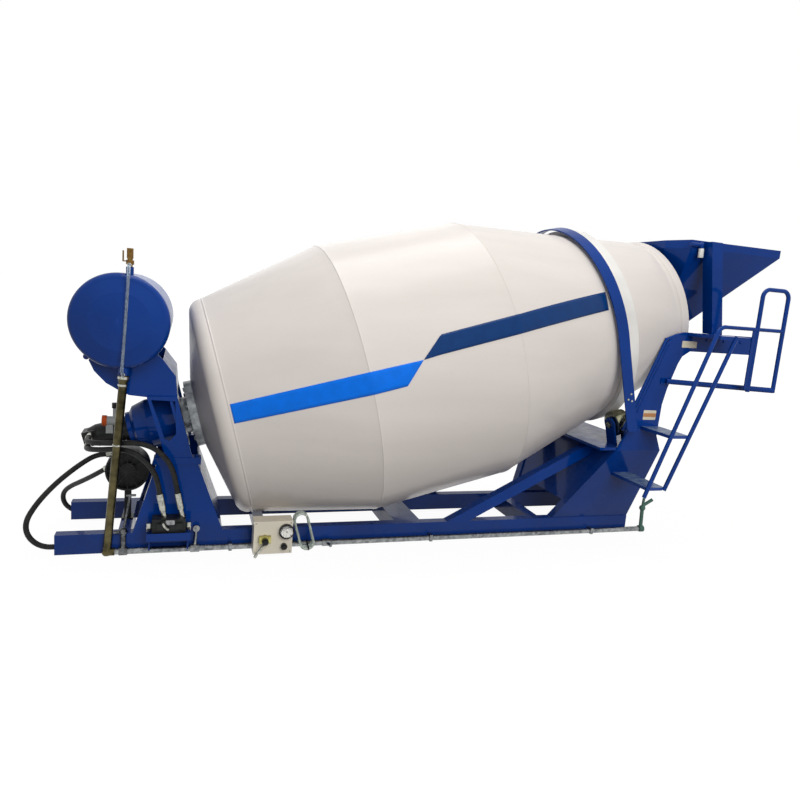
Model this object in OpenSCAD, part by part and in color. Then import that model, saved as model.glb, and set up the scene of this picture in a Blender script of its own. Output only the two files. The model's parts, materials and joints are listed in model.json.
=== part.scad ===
// Concrete mixer upper body for a truck: tilted drum, hydraulic drive, water tank,
// charging hopper, ladder and water line on their own two-rail subframe.
// Millimetres, +Z up, +X towards the discharge end, near side is -Y.

/* [Subframe] */
// Length of the two rails
rail_len = 5090; // [4900:10:5300]
// Height of a rail
rail_h = 155; // [135:5:180]
// Width of a rail
rail_w = 90; // [80:2:110]
// Wall of the rail tube
rail_wall = 8; // [6:1:12]
// Width over both rails
frame_w = 866; // [840:2:900]
// Distance between the hold-down ears along a rail
ear_pitch = 3600; // [3200:50:3800]
// Radius of a hold-down hole
ear_hole_r = 11; // [8:0.5:14]
// Thickness of the formed plates
plate_t = 12; // [8:1:16]

/* [Drum] */
// Tilt of the drum axis
drum_tilt = 14.85; // [13:0.05:16]
// Place of the drum axis along the rails
drum_x = 2179; // [2150:1:2210]
// Height of the drum axis at that place
drum_z = 1339; // [1325:1:1380]
// Largest radius of the drum
drum_r = 1170; // [1140:1:1174]
// Radius at the front seam
front_r = 910; // [880:1:930]
// Radius of the rear cone where the roller track begins
track_neck_r = 909; // [890:1:915]
// Radius of the mouth
mouth_r = 676; // [650:1:700]
// Wall of the drum
drum_wall = 8; // [5:1:12]
// Radius of the roller track
track_r = 930; // [925:1:940]
// Width of the roller track
track_w = 120; // [100:5:140]
// Radius of the knuckle between head and front cone
knuckle_r = 110; // [80:5:130]
// Height of the mixing blades
blade_h = 330; // [250:10:380]

/* [Drive] */
// Radius of the gearbox body
gearbox_r = 200; // [180:5:210]
// Radius of the drive flange
drive_r = 275; // [250:5:290]
// Radius of the output shaft
shaft_r = 60; // [50:1:70]
// Radius of the hydraulic motor
motor_r = 90; // [70:5:110]
// Radius of the oil cooler
cooler_r = 165; // [150:5:175]

/* [Rollers] */
// Radius of a support roller
roller_r = 115; // [105:1:125]
// Width of a support roller
roller_w = 120; // [100:5:130]
// Angle of a roller from the lowest point of the track
roller_angle = 35; // [32:0.5:38]
// Radius of a roller pin
pin_r = 30; // [22:1:36]

/* [Water] */
// Radius of the water tank
tank_r = 340; // [310:5:350]
// Length of the water tank over its heads
tank_len = 1300; // [1240:10:1400]
// Outer radius of the water main
main_r = 24; // [18:1:28]
// Outer radius of the down pipe
down_r = 30; // [24:1:32]

/* [Rear] */
// Distance of an arm's outer face from the middle plane
arm_y = 760; // [745:1:780]
// Depth of an arm's edge flange
arm_depth = 30; // [26:1:34]
// Height of the roller shelf
shelf_z = 925; // [905:5:935]
// Height of the arms' level part
arm_top_z = 2000; // [1970:5:2030]
// Outer radius of the hoop bar
hoop_r = 964; // [962:1:975]
// Width of the hoop bar
hoop_w = 100; // [70:5:110]

/* [Hopper] */
// Rear edge of the hopper rim
hopper_tip_x = 6264; // [6180:2:6300]
// Height of the hopper rim
hopper_top_z = 2830; // [2800:5:2860]
// Half the width of the hopper rim
hopper_half_w = 640; // [600:5:650]
// Thickness of the hopper plate
hopper_t = 6; // [4:1:10]

/* [Ladder] */
// Distance of the ladder tubes from the middle plane
ladder_y = 1148; // [1120:1:1150]
// Radius of the ladder and guard tubes
tube_r = 18; // [14:1:20]
// Thickness of a tread
tread_t = 28; // [20:1:34]

/* [Controls] */
// Width of the control box
box_w = 305; // [280:5:320]
// Height of the control box
box_h = 270; // [240:5:275]
// Radius of the pressure gauge
gauge_r = 58; // [45:1:62]

/* [Hidden] */

$fn = 96;
touch = 0.3;
run_fit = 0.05;
clear_move = 6;

blue = [0.07, 0.21, 0.50];
drum_white = [0.85, 0.84, 0.81];
zinc = [0.62, 0.60, 0.45];
black = [0.08, 0.08, 0.09];
cream = [0.84, 0.80, 0.68];
brass = [0.72, 0.53, 0.30];
steel = [0.70, 0.71, 0.72];
clear_tube = [0.80, 0.86, 0.90];

// The origin is under the middle of the whole length
mid_x = hopper_tip_x / 2;
rail_out_y = frame_w / 2;
rail_in_y = rail_out_y - rail_w;
rail_mid_y = rail_out_y - rail_w / 2;

module framed() {
    translate([-mid_x, 0, 0]) children();
}

module both_sides() {
    children();
    mirror([0, 1, 0]) children();
}

// Puts children on the drum axis at station s, their X along the axis
module on_axis(s = 0) {
    translate([drum_x, 0, drum_z]) rotate([0, -drum_tilt, 0]) translate([s, 0, 0]) children();
}

// Revolves a profile of [station, radius] points about the drum axis
module turned(points) {
    rotate([0, 90, 0]) rotate_extrude() polygon([for (p = points) [p[1], p[0]]]);
}

module rod(a, b, r) {
    v = b - a;
    l = norm(v);
    translate(a) rotate([0, acos(v[2] / l), atan2(v[1], v[0])]) cylinder(r = r, h = l);
}

// Plate cut from an [x, z] outline, from y0 towards +Y
module side_plate(y0, t, points) {
    translate([0, y0 + t, 0]) rotate([90, 0, 0]) linear_extrude(height = t) polygon(points);
}

// Bar cut from a [y, z] outline, along +X
module cross_bar(x0, len, points) {
    translate([x0, 0, 0]) rotate([90, 0, 90]) linear_extrude(height = len) polygon(points);
}

function unit(v) = v / norm(v);
function along(a, b, t) = a + (b - a) * t;

// Sweep of a round section along a list of points, carried without twist
cord_sides = 10;
function tangent_at(p, i) =
    unit((i < len(p) - 1 ? p[i + 1] - p[i] : [0, 0, 0]) / norm(i < len(p) - 1 ? p[i + 1] - p[i] : [1, 0, 0])
       + (i > 0 ? p[i] - p[i - 1] : [0, 0, 0]) / norm(i > 0 ? p[i] - p[i - 1] : [1, 0, 0]));
function side_of(t) = unit(cross(t, abs(t[2]) < 0.9 ? [0, 0, 1] : [0, 1, 0]));
function carried(p, i) =
    i == 0 ? side_of(tangent_at(p, 0))
           : let (u = carried(p, i - 1), t = tangent_at(p, i)) unit(u - t * (u * t));
module cord(p, r) {
    n = len(p);
    rings = [for (i = [0:n - 1])
        let (t = tangent_at(p, i), u = carried(p, i), w = cross(t, u))
        for (k = [0:cord_sides - 1])
            p[i] + r * (cos(360 * k / cord_sides) * u + sin(360 * k / cord_sides) * w)];
    walls = [for (i = [0:n - 2], k = [0:cord_sides - 1])
        let (a = i * cord_sides + k, b = i * cord_sides + (k + 1) % cord_sides)
        each [[a, b, b + cord_sides], [a, b + cord_sides, a + cord_sides]]];
    start = [for (k = [1:cord_sides - 2]) [0, k + 1, k]];
    last = (n - 1) * cord_sides;
    finish = [for (k = [1:cord_sides - 2]) [last, last + k, last + k + 1]];
    polyhedron(points = rings, faces = [for (f = concat(walls, start, finish)) [f[0], f[2], f[1]]]);
}

// Stations along the drum axis
seam_s = -984;
belly_s = 25;
belly_end_s = 1251;
neck_s = 2241;
mouth_s = 3182;
head_s = -1208;
head_flat_r = 300;
knuckle_end = 172;
knuckle_steps = 6;

function cone_r(s) =
    s < seam_s ? front_r :
    s < belly_s ? front_r + (drum_r - front_r) * (s - seam_s) / (belly_s - seam_s) :
    s < belly_end_s ? drum_r :
    s < neck_s ? drum_r + (track_neck_r - drum_r) * (s - belly_end_s) / (neck_s - belly_end_s) :
    track_neck_r + (mouth_r - track_neck_r) * (s - neck_s) / (mouth_s - neck_s);

function drum_profile(inset) = concat(
    [[head_s + inset, 0], [head_s + inset, head_flat_r]],
    [for (i = [0:knuckle_steps])
        let (a = knuckle_end + (90 - knuckle_end) * i / knuckle_steps)
        [seam_s + (knuckle_r - inset) * cos(a), front_r - knuckle_r + (knuckle_r - inset) * sin(a)]],
    [[belly_s, drum_r - inset], [belly_end_s, drum_r - inset], [neck_s, track_neck_r - inset],
     [mouth_s, mouth_r - inset]]);

function reversed(p) = [for (i = [len(p) - 1:-1:0]) p[i]];

// Band rolled round the mouth
lip_w = 75;
lip_out = 18;
module drum_shell() color(drum_white) framed() on_axis() {
    turned(concat(drum_profile(0), reversed(drum_profile(drum_wall))));
    turned([[mouth_s - lip_w, cone_r(mouth_s - lip_w) - drum_wall / 2], [mouth_s - lip_w, mouth_r + lip_out],
            [mouth_s, mouth_r + lip_out], [mouth_s, mouth_r - drum_wall / 2]]);
}

// Rolled track that runs on the two rollers, welded on at its front edge
track_step = 149;
track_s = neck_s + track_step;
track_front_s = track_s - track_w / 2;
module drum_track() color(drum_white) framed() on_axis() {
    inner = cone_r(track_front_s) + touch;
    foot = 14;
    turned([[track_front_s, inner], [track_front_s + track_w, inner], [track_front_s + track_w, track_r],
            [track_front_s, track_r]]);
    turned([[track_front_s + track_w - foot, cone_r(track_front_s + track_w - foot) + touch],
            [track_front_s + track_w, cone_r(track_front_s + track_w - foot) + touch],
            [track_front_s + track_w, inner + 1], [track_front_s + track_w - foot, inner + 1]]);
}

// Drive: flange on the drum head, hub and shaft that run in the gearbox
flange_s = head_s - 62;
hub_r = 150;
gearbox_face_s = flange_s - 66;
hub_s = gearbox_face_s + clear_move;
shaft_len = 160;
bolt_r = 16;
bolt_count = 12;
module drive_flange() color(black) framed() on_axis() {
    turned([[flange_s, 0], [flange_s, drive_r], [head_s, drive_r], [head_s, 0]]);
    turned([[hub_s, 0], [hub_s, hub_r], [flange_s, hub_r], [flange_s, 0]]);
    turned([[hub_s - shaft_len, 0], [hub_s - shaft_len, shaft_r], [hub_s, shaft_r], [hub_s, 0]]);
    for (i = [0:bolt_count - 1])
        rotate([i * 360 / bolt_count, 0, 0]) translate([flange_s - bolt_r, 0, (drive_r + hub_r) / 2])
            rotate([0, 90, 0]) cylinder(r = bolt_r, h = bolt_r, $fn = 6);
}

// Two helical blades that stand on the inside of the drum wall
blade_t = 8;
blade_turn_len = 2300;
blade_from_s = -850;
blade_to_s = 2950;
blade_steps = 60;
blade_share = 0.42;
function blade_h_at(s) = min(blade_h, cone_r(s) * blade_share);
blade_lead = 22;
function blade_angle(s, phase) = phase + 360 * (s - blade_from_s) / blade_turn_len;
function blade_pt(s, r, phase) =
    let (a = blade_angle(s, phase)) [s, r * cos(a), r * sin(a)];
// Step through the sheet's thickness, square to its lead
function blade_through(s, phase) =
    let (a = blade_angle(s, phase))
    blade_t * [cos(blade_lead), sin(blade_lead) * sin(a), -sin(blade_lead) * cos(a)];
module blade(phase) {
    ss = [for (i = [0:blade_steps]) blade_from_s + (blade_to_s - blade_from_s) * i / blade_steps];
    pts = [for (s = ss)
        let (wall_r = min(cone_r(s), cone_r(s + blade_t)) - drum_wall - touch)
        let (edge_r = cone_r(s) - drum_wall - blade_h_at(s))
        let (through = blade_through(s, phase))
        each [blade_pt(s, wall_r, phase), blade_pt(s, edge_r, phase),
              blade_pt(s, edge_r, phase) + through, blade_pt(s, wall_r, phase) + through]];
    faces = concat([[0, 1, 2, 3]],
        [for (i = [0:blade_steps - 1], k = [0:3])
            let (a = i * 4 + k, b = i * 4 + (k + 1) % 4)
            each k == 2 ? [[a, a + 4, b], [a + 4, b + 4, b]] : [[a, a + 4, b + 4], [a, b + 4, b]]],
        [[for (k = [3:-1:0]) blade_steps * 4 + k]]);
    polyhedron(points = pts, faces = faces);
}
module mixing_blades() color(steel) framed() on_axis() {
    for (phase = [0, 180]) blade(phase);
}

// Subframe
module rail(y0) {
    difference() {
        translate([0, y0, 0]) cube([rail_len, rail_w, rail_h]);
        translate([-1, y0 + rail_wall, rail_wall])
            cube([rail_len + 2, rail_w - 2 * rail_wall, rail_h - 2 * rail_wall]);
    }
}
module rail_near() color(blue) framed() rail(-rail_out_y);
module rail_far() color(blue) framed() rail(rail_in_y);

cross_x = [435, 1500, 2690, 4030];
cross_w = [90, 90, 240, 100];
cross_drop = [0, 60, 0, 0];
cross_wall = 8;
module cross_members() color(blue) framed() {
    for (i = [0:len(cross_x) - 1])
        difference() {
            translate([cross_x[i], -rail_in_y, 0]) cube([cross_w[i], 2 * rail_in_y, rail_h - cross_drop[i]]);
            translate([cross_x[i] + cross_wall, -rail_in_y - 1, -1])
                cube([cross_w[i] - 2 * cross_wall, 2 * rail_in_y + 2, rail_h - cross_drop[i] - cross_wall + 1]);
        }
}

ear_x = 700;
ear_len = 130;
ear_reach = 86;
ear_t = 16;
ear_hole_y = rail_in_y - ear_reach / 2;
module hold_down_ears() color(blue) framed() {
    both_sides() for (x = [ear_x, ear_x + ear_pitch])
        difference() {
            translate([x - ear_len / 2, -rail_in_y, 0]) cube([ear_len, ear_reach, ear_t]);
            translate([x, -ear_hole_y, -1]) cylinder(r = ear_hole_r, h = ear_t + 2);
        }
}

// Front pedestal: two tapered side plates with edge flanges, closed behind
foot_x0 = 543;
foot_x1 = 1213;
waist_x0 = 705;
waist_x1 = 1012;
waist_z = 700;
waist_t = 27;
waist_lap = 20;
waist_out = 10;
flange_w = 90;
edge_t = 14;
panel_top_z = 640;
function ped_front_x(z) = foot_x0 + (waist_x0 - foot_x0) * (z - rail_h) / (waist_z - rail_h);
function ped_rear_x(z) = foot_x1 + (waist_x1 - foot_x1) * (z - rail_h) / (waist_z - rail_h);
module pedestal_strip(rear, z1, y0, w) {
    side_plate(y0, w, rear
        ? [[foot_x1 - edge_t, rail_h], [foot_x1, rail_h], [ped_rear_x(z1), z1], [ped_rear_x(z1) - edge_t, z1]]
        : [[foot_x0, rail_h], [foot_x0 + edge_t, rail_h], [ped_front_x(z1) + edge_t, z1], [ped_front_x(z1), z1]]);
}
module waist_flange(z) {
    translate([waist_x0 - waist_lap, -rail_out_y - waist_out, z])
        cube([waist_x1 - waist_x0 + 2 * waist_lap, flange_w + waist_out, waist_t]);
}
module front_pedestal() color(blue) framed() {
    both_sides() {
        side_plate(-rail_out_y, plate_t,
            [[foot_x0, rail_h], [foot_x1, rail_h], [waist_x1, waist_z], [waist_x0, waist_z]]);
        pedestal_strip(false, waist_z, -rail_out_y, flange_w);
        waist_flange(waist_z);
    }
    pedestal_strip(true, panel_top_z, -rail_out_y, 2 * rail_out_y);
}

// Upper yoke: windowed side plates square to the drum axis and the gearbox plate
yoke_z0 = waist_z + waist_t;
yoke_z1 = 1215;
yoke_foot_x0 = waist_x0 + 74;
yoke_foot_x1 = waist_x1 - 38;
yoke_x0 = 628;
yoke_x1 = 846;
yoke_plate_s = gearbox_face_s - 44;
yoke_plate_t = 20;
yoke_plate_low = 240;
yoke_plate_high = 275;
window_outline = [[658, yoke_z1 - 15], [831, yoke_z1 - 20], [842, 938], [799, 885], [760, 900]];
module gearbox_yoke() color(blue) framed() {
    both_sides() {
        difference() {
            side_plate(-rail_out_y, plate_t, [[yoke_foot_x0, yoke_z0], [yoke_foot_x1, yoke_z0],
                [yoke_x1, yoke_z1], [yoke_x0, yoke_z1]]);
            side_plate(-rail_out_y - 1, plate_t + 2, window_outline);
        }
        side_plate(-rail_out_y, flange_w, [[yoke_foot_x0, yoke_z0], [yoke_foot_x0 + edge_t, yoke_z0],
            [yoke_x0 + edge_t, yoke_z1], [yoke_x0, yoke_z1]]);
        waist_flange(yoke_z0);
    }
    difference() {
        on_axis(yoke_plate_s) translate([0, -rail_out_y + plate_t - 1, -yoke_plate_low])
            cube([yoke_plate_t, 2 * (rail_out_y - plate_t) + 2, yoke_plate_low + yoke_plate_high]);
        on_axis(yoke_plate_s - 1) rotate([0, 90, 0]) cylinder(r = gearbox_r + clear_move, h = yoke_plate_t + 2);
        translate([0, -rail_out_y, yoke_z1]) cube([drum_x, 2 * rail_out_y, drum_z]);
    }
}

// Planetary gearbox on the yoke plate and the hydraulic motor in front of it
gearbox_flange_r = 250;
gearbox_flange_t = gearbox_face_s - yoke_plate_s - yoke_plate_t;
gearbox_back_s = -1760;
gearbox_bell_s = -1600;
gearbox_nose_r = 130;
gearbox_nose_len = 30;
motor_back_s = -2060;
motor_flange_r = motor_r + 14;
motor_flange_t = 35;
motor_taper = 60;
motor_end_share = 0.8;
manifold_size = [100, 2 * motor_r, 120];
rib_count = 8;
rib_s = -1585;
rib_w = 16;
rib_out = 4;
module gearbox() color(blue) framed() on_axis() {
    difference() {
        union() {
            turned([[gearbox_back_s, 0], [gearbox_back_s, gearbox_nose_r],
                    [gearbox_back_s + gearbox_nose_len, gearbox_nose_r],
                    [gearbox_back_s + 2 * gearbox_nose_len, gearbox_r - gearbox_nose_len],
                    [gearbox_bell_s, gearbox_r], [yoke_plate_s + yoke_plate_t, gearbox_r],
                    [yoke_plate_s + yoke_plate_t, gearbox_flange_r], [gearbox_face_s, gearbox_flange_r],
                    [gearbox_face_s, 0]]);
            for (i = [0:rib_count - 1])
                rotate([(i + 0.5) * 360 / rib_count, 0, 0]) translate([rib_s, -rib_w / 2, gearbox_r / 2])
                    cube([yoke_plate_s - clear_move - rib_s, rib_w, gearbox_r / 2 + rib_out]);
        }
        translate([gearbox_face_s - shaft_len - clear_move, 0, 0]) rotate([0, 90, 0])
            cylinder(r = shaft_r + run_fit, h = shaft_len + clear_move + 1);
    }
}
module hydraulic_motor() color(black) framed() on_axis() {
    turned([[motor_back_s, 0], [motor_back_s, motor_r * motor_end_share], [motor_back_s + motor_taper, motor_r],
            [gearbox_back_s - motor_flange_t, motor_r], [gearbox_back_s - motor_flange_t, motor_flange_r],
            [gearbox_back_s, motor_flange_r], [gearbox_back_s, 0]]);
    translate([motor_back_s + motor_taper - manifold_size[0], -motor_r, -manifold_size[2] / 2]) cube(manifold_size);
}

// Oil cooler with its fan ring, and the filter beside the motor
cooler_c = [480, -60, 575];
cooler_depth = 210;
guard_ribs = 12;
rib_bar = 6;
fan_depth = 60;
fan_rim = 14;
fan_hub_r = 60;
rib_from = 40;
module oil_cooler() color(black) framed() translate(cooler_c) rotate([90, 0, 0]) {
    difference() {
        cylinder(r = cooler_r, h = cooler_depth, center = true);
        translate([0, 0, cooler_depth / 2 - fan_depth]) cylinder(r = cooler_r - fan_rim, h = fan_depth + 1);
    }
    translate([0, 0, cooler_depth / 2 - fan_depth - 1]) cylinder(r = fan_hub_r, h = fan_depth - 10);
    for (i = [0:guard_ribs - 1])
        rotate([0, 0, i * 360 / guard_ribs]) translate([rib_from, -rib_bar / 2, cooler_depth / 2 - rib_bar - 2])
            cube([cooler_r - rib_from - 10, rib_bar, rib_bar]);
}
stand_w = 50;
stand_foot = [90, 120, 10];
stand_in = 40;
module cooler_stand() color(black) framed() {
    difference() {
        translate([cooler_c[0] - stand_w / 2, cooler_c[1] - stand_w / 2, rail_h])
            cube([stand_w, stand_w, cooler_c[2] - cooler_r + stand_in - rail_h]);
        translate(cooler_c) rotate([90, 0, 0]) cylinder(r = cooler_r + touch, h = cooler_depth, center = true);
    }
    translate([cooler_c[0] - stand_foot[0] / 2, cooler_c[1] - stand_foot[1] / 2, rail_h]) cube(stand_foot);
}
filter_x = [291, 420];
filter_y = -150;
filter_z = 978;
filter_r = 35;
filter_cap_r = 41;
filter_cap_len = 34;
breather_x = 380;
breather_z = 1080;
breather_r = 19;
breather_h = 40;
breather_stem_r = 12;
filter_arm_w = 50;
filter_arm_z = 880;
filter_arm_in = 60;
module oil_filter() color(black) framed() difference() {
    union() {
        rod([filter_x[0], filter_y, filter_z], [filter_x[0] + filter_cap_len, filter_y, filter_z], filter_cap_r);
        rod([filter_x[0] + filter_cap_len - 1, filter_y, filter_z], [filter_x[1], filter_y, filter_z], filter_r);
        translate([breather_x, filter_y, filter_z]) cylinder(r = breather_stem_r, h = breather_z - filter_z + 1);
        translate([breather_x, filter_y, breather_z]) cylinder(r = breather_r, h = breather_h);
        translate([filter_x[1] - 2 * filter_arm_w, filter_y - filter_r / 2, filter_arm_z])
            cube([filter_arm_w, -filter_y + filter_r / 2 - filter_arm_in, filter_z - filter_arm_z]);
    }
    on_axis(gearbox_back_s) rotate([0, -90, 0]) cylinder(r = motor_r + touch, h = gearbox_back_s - motor_back_s);
}

// Water tank on its saddle
tank_x = 447;
tank_z = 1786;
tank_dish = 90;
tank_knuckle = 45;
outlet_x = tank_x + 27;
outlet_y = -550;
outlet_r = 38;
outlet_low_z = 1400;
dish_share = 0.55;
dish_rim = 12;
dish_flat = 0.6;
socket_dx = 60;
socket_r = 26;
socket_h = 70;
socket_in = 25;
drain_r = 22;
drain_dy = 120;
drain_at = [0.65, 0.78];
function dish_profile(side) =
    [for (a = [0:15:90]) [side * (tank_len / 2 - tank_dish + tank_dish * sin(a) * dish_share),
                          tank_r - tank_knuckle + tank_knuckle * cos(a)]];
module water_tank() color(blue) framed() {
    translate([tank_x, 0, tank_z]) rotate([0, 0, 90]) turned(concat(
        [[-tank_len / 2, 0], [dish_rim - tank_len / 2, tank_r * dish_flat]],
        reversed(dish_profile(-1)), dish_profile(1),
        [[tank_len / 2 - dish_rim, tank_r * dish_flat], [tank_len / 2, 0]]));
    translate([outlet_x, outlet_y, outlet_low_z]) cylinder(r = outlet_r, h = tank_z - tank_r - outlet_low_z + 30);
    translate([tank_x + socket_dx, outlet_y, tank_z + tank_r - socket_in]) cylinder(r = socket_r, h = socket_h);
    translate([tank_x - tank_r * drain_at[0], drain_dy - tank_len / 2, tank_z - tank_r * drain_at[1]])
        sphere(r = drain_r);
}

saddle_y = 400;
saddle_gap = 10;
saddle_front = [[224, 1480], [261, 1401], [342, 1314], [425, 1265]];
saddle_sheet = [[436, 1272], [352, 1324], [271, 1410], [234, 1486]];
saddle_low = [500, yoke_z1 + 13];
saddle_rear = [[830, 1382], [735, 1507]];
saddle_rear_sheet = [[727, 1500], [818, 1378]];
module saddle_rib() {
    difference() {
        side_plate(-saddle_y, plate_t, concat(saddle_front,
            [saddle_low, [yoke_x0, yoke_z1], [yoke_x1, yoke_z1]], saddle_rear, [[tank_x, tank_z]]));
        tank_room();
    }
}
// Room for the tank's round body
module tank_room() {
    translate([tank_x, 0, tank_z]) rotate([90, 0, 0]) cylinder(r = tank_r + touch, h = tank_len, center = true);
}
module tank_saddle() color(blue) framed() {
    both_sides() saddle_rib();
    difference() {
        union() {
            side_plate(-saddle_y, 2 * saddle_y, concat(saddle_front, saddle_sheet));
            side_plate(-saddle_y, 2 * saddle_y, concat([[yoke_x1, yoke_z1]], saddle_rear, saddle_rear_sheet,
                [[yoke_x1 - plate_t, yoke_z1]]));
        }
        tank_room();
        on_axis(gearbox_face_s) rotate([0, 90, 0])
            cylinder(r = gearbox_flange_r + clear_move, h = 4 * gearbox_flange_t, center = true);
    }
    both_sides() translate([yoke_x0, -rail_out_y, yoke_z1]) cube([yoke_x1 - yoke_x0, flange_w, plate_t]);
}

valve_base = [tank_x + socket_dx, outlet_y, tank_z + tank_r - socket_in + socket_h];
module tank_valve() color(brass) framed() translate(valve_base) {
    cylinder(r = 18, h = 60);
    translate([0, 0, 16]) cylinder(r = 27, h = 30);
    translate([0, 0, 58]) cylinder(r = 22, h = 70);
    translate([-50, -8, 34]) cube([10, 16, 76]);
    translate([-46, -6, 34]) cube([50, 12, 8]);
    rotate([90, 0, 0]) translate([0, 12, 0]) cylinder(r = 11, h = 50);
}
sight_y = -tank_len / 2 - 24;
sight_r = 11;
sight_route = [[valve_base[0], valve_base[1] - 50, valve_base[2] + 12],
    [valve_base[0], valve_base[1] - 75, valve_base[2] + 12], [valve_base[0], sight_y + 22, valve_base[2] - 8],
    [valve_base[0], sight_y, valve_base[2] - 60], [valve_base[0] - 6, sight_y, tank_z + 200],
    [valve_base[0] - 16, sight_y, tank_z], [valve_base[0] - 30, sight_y, tank_z - 250],
    [valve_base[0] - 36, sight_y, tank_z - 335], [outlet_x, sight_y + 36, tank_z - 376],
    [outlet_x, outlet_y - outlet_r - 24, tank_z - 378], [outlet_x, outlet_y - outlet_r - touch, tank_z - 378]];
module sight_tube() color(clear_tube) framed() cord(sight_route, sight_r);

// Water line along the near rail
main_z = main_r + 2;
elbow_r = down_r + 6;
main_y = -(rail_out_y + 38);
main_x0 = 365;
elbow_len = 55;
collar_h = 46;
main_x1 = 5270;
module water_down_pipe() color(zinc) framed() difference() {
    union() {
        translate([outlet_x, outlet_y, outlet_low_z - collar_h]) cylinder(r = outlet_r, h = collar_h);
        rod([outlet_x, outlet_y, outlet_low_z - collar_h / 2], [main_x0, main_y, main_z], down_r);
        translate([main_x0, main_y, main_z]) sphere(r = elbow_r);
        translate([main_x0, main_y, main_z]) rotate([0, 90, 0]) cylinder(r = down_r, h = elbow_len);
    }
    translate([main_x0 - elbow_len, main_y - elbow_len, -elbow_len]) cube([3 * elbow_len, 2 * elbow_len, elbow_len]);
}
tee_x = [1004, 2060];
shut_x = 480;
module water_main() color(steel) framed() {
    rod([main_x0 + elbow_len, main_y, main_z], [main_x1, main_y, main_z], main_r);
}
clip_x = [1275, 3000, 4660];
clip_w = 26;
module pipe_clips() color(zinc) framed() {
    for (x = clip_x) difference() {
        translate([x - clip_w / 2, main_y - main_r - 8, 2])
            cube([clip_w, -rail_out_y - main_y + main_r + 8, main_z + main_r + 8]);
        translate([x - clip_w, main_y, main_z]) rotate([0, 90, 0]) cylinder(r = main_r + touch, h = 2 * clip_w);
    }
}
module saddle_on_main(x, w) {
    difference() {
        translate([x - w / 2, main_y, main_z]) rotate([0, 90, 0]) cylinder(r = main_r + 9, h = w);
        translate([x - w, main_y, main_z]) rotate([0, 90, 0]) cylinder(r = main_r + touch, h = 2 * w);
        translate([x - w, main_y - 2 * main_r, 1 - 2 * main_r]) cube([2 * w, 4 * main_r, 2 * main_r]);
    }
}
module shut_off_valve() color(brass) framed() {
    saddle_on_main(shut_x, 60);
    translate([shut_x, main_y, main_z + main_r + 4]) cylinder(r = 20, h = 120);
    translate([shut_x, main_y, 185]) sphere(r = 30);
    rod([shut_x, main_y, 185], [shut_x + 46, main_y, 470], 9);
    rod([shut_x + 16, main_y, 470], [shut_x + 86, main_y, 470], 9);
    rod([shut_x - 66, main_y, 178], [shut_x, main_y, 185], 12);
}
module line_tees() color(zinc) framed() {
    for (x = tee_x) saddle_on_main(x, 70);
    rod([tee_x[0], main_y, main_z + main_r + 4], [tee_x[0] + 8, main_y, 190], 12);
    translate([tee_x[0] + 8, main_y, 190]) rotate([90, 0, 0]) cylinder(r = 26, h = 22, center = true);
    rod([tee_x[1] + 10, main_y - main_r - 4, main_z], [tee_x[1] + 24, main_y - 80, main_z], 13);
}
module rear_wash_valve() color(zinc) framed() {
    saddle_on_main(main_x1 - 25, 50);
    rod([main_x1 - 25, main_y, main_z + main_r + 4], [main_x1 - 35, main_y, 240], 18);
    translate([main_x1 - 35, main_y, 240]) sphere(r = 30);
    rod([main_x1 - 35, main_y, 240], [main_x1 - 30, main_y, 340], 13);
    rod([main_x1 - 35, main_y, 262], [main_x1 + 55, main_y - 20, 330], 16);
}

// Hydraulic junction on its tray outside the near rail
block_x = [688, 930];
block_y = [-618, -500];
tray_x = [650, 966];
tray_y = -645;
tray_z = 160;
tray_t = 12;
tray_lip_t = 6;
tray_lip_h = 60;
tray_leg_y = -560;
block_z = tray_z + tray_t;
block_h = 150;
port_r = 30;
port_len = 40;
valve_size = [50, 20, 46];
valve_x = [720, 860];
valve_up = 76;
handle_r = 9;
handle_pin_r = 16;
handle_x = [770, 806];
handle_up = [128, 74];
module junction_tray() color(zinc) framed() {
    translate([tray_x[0], tray_y, tray_z]) cube([tray_x[1] - tray_x[0], -tray_y - rail_out_y, tray_t]);
    translate([tray_x[0], tray_y, tray_z]) cube([tray_x[1] - tray_x[0], tray_lip_t, tray_lip_h]);
    leg_h = tray_z - main_z - main_r - clear_move;
    for (x = [tray_x[0] + tray_t, tray_x[1] - 2 * tray_t])
        translate([x, tray_leg_y, tray_z - leg_h]) cube([tray_t, -tray_leg_y - rail_out_y, leg_h + 1]);
}
module junction_block() color(black) framed() {
    translate([block_x[0], block_y[0], block_z]) cube([block_x[1] - block_x[0], block_y[1] - block_y[0], block_h]);
    for (x = [block_x[0] - port_len, block_x[1]])
        translate([x, (block_y[0] + block_y[1]) / 2, block_z + block_h / 2]) rotate([0, 90, 0])
            cylinder(r = port_r, h = port_len);
    for (x = valve_x) translate([x, block_y[0] - valve_size[1], block_z + valve_up]) cube(valve_size);
    rod([handle_x[0], block_y[0] - 12, block_z + handle_up[0]], [handle_x[1], block_y[0] - 12, block_z + handle_up[1]],
        handle_r);
    translate([handle_x[0], block_y[0] + 2, block_z + handle_up[0]]) rotate([90, 0, 0])
        cylinder(r = handle_pin_r, h = 26);
}

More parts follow.
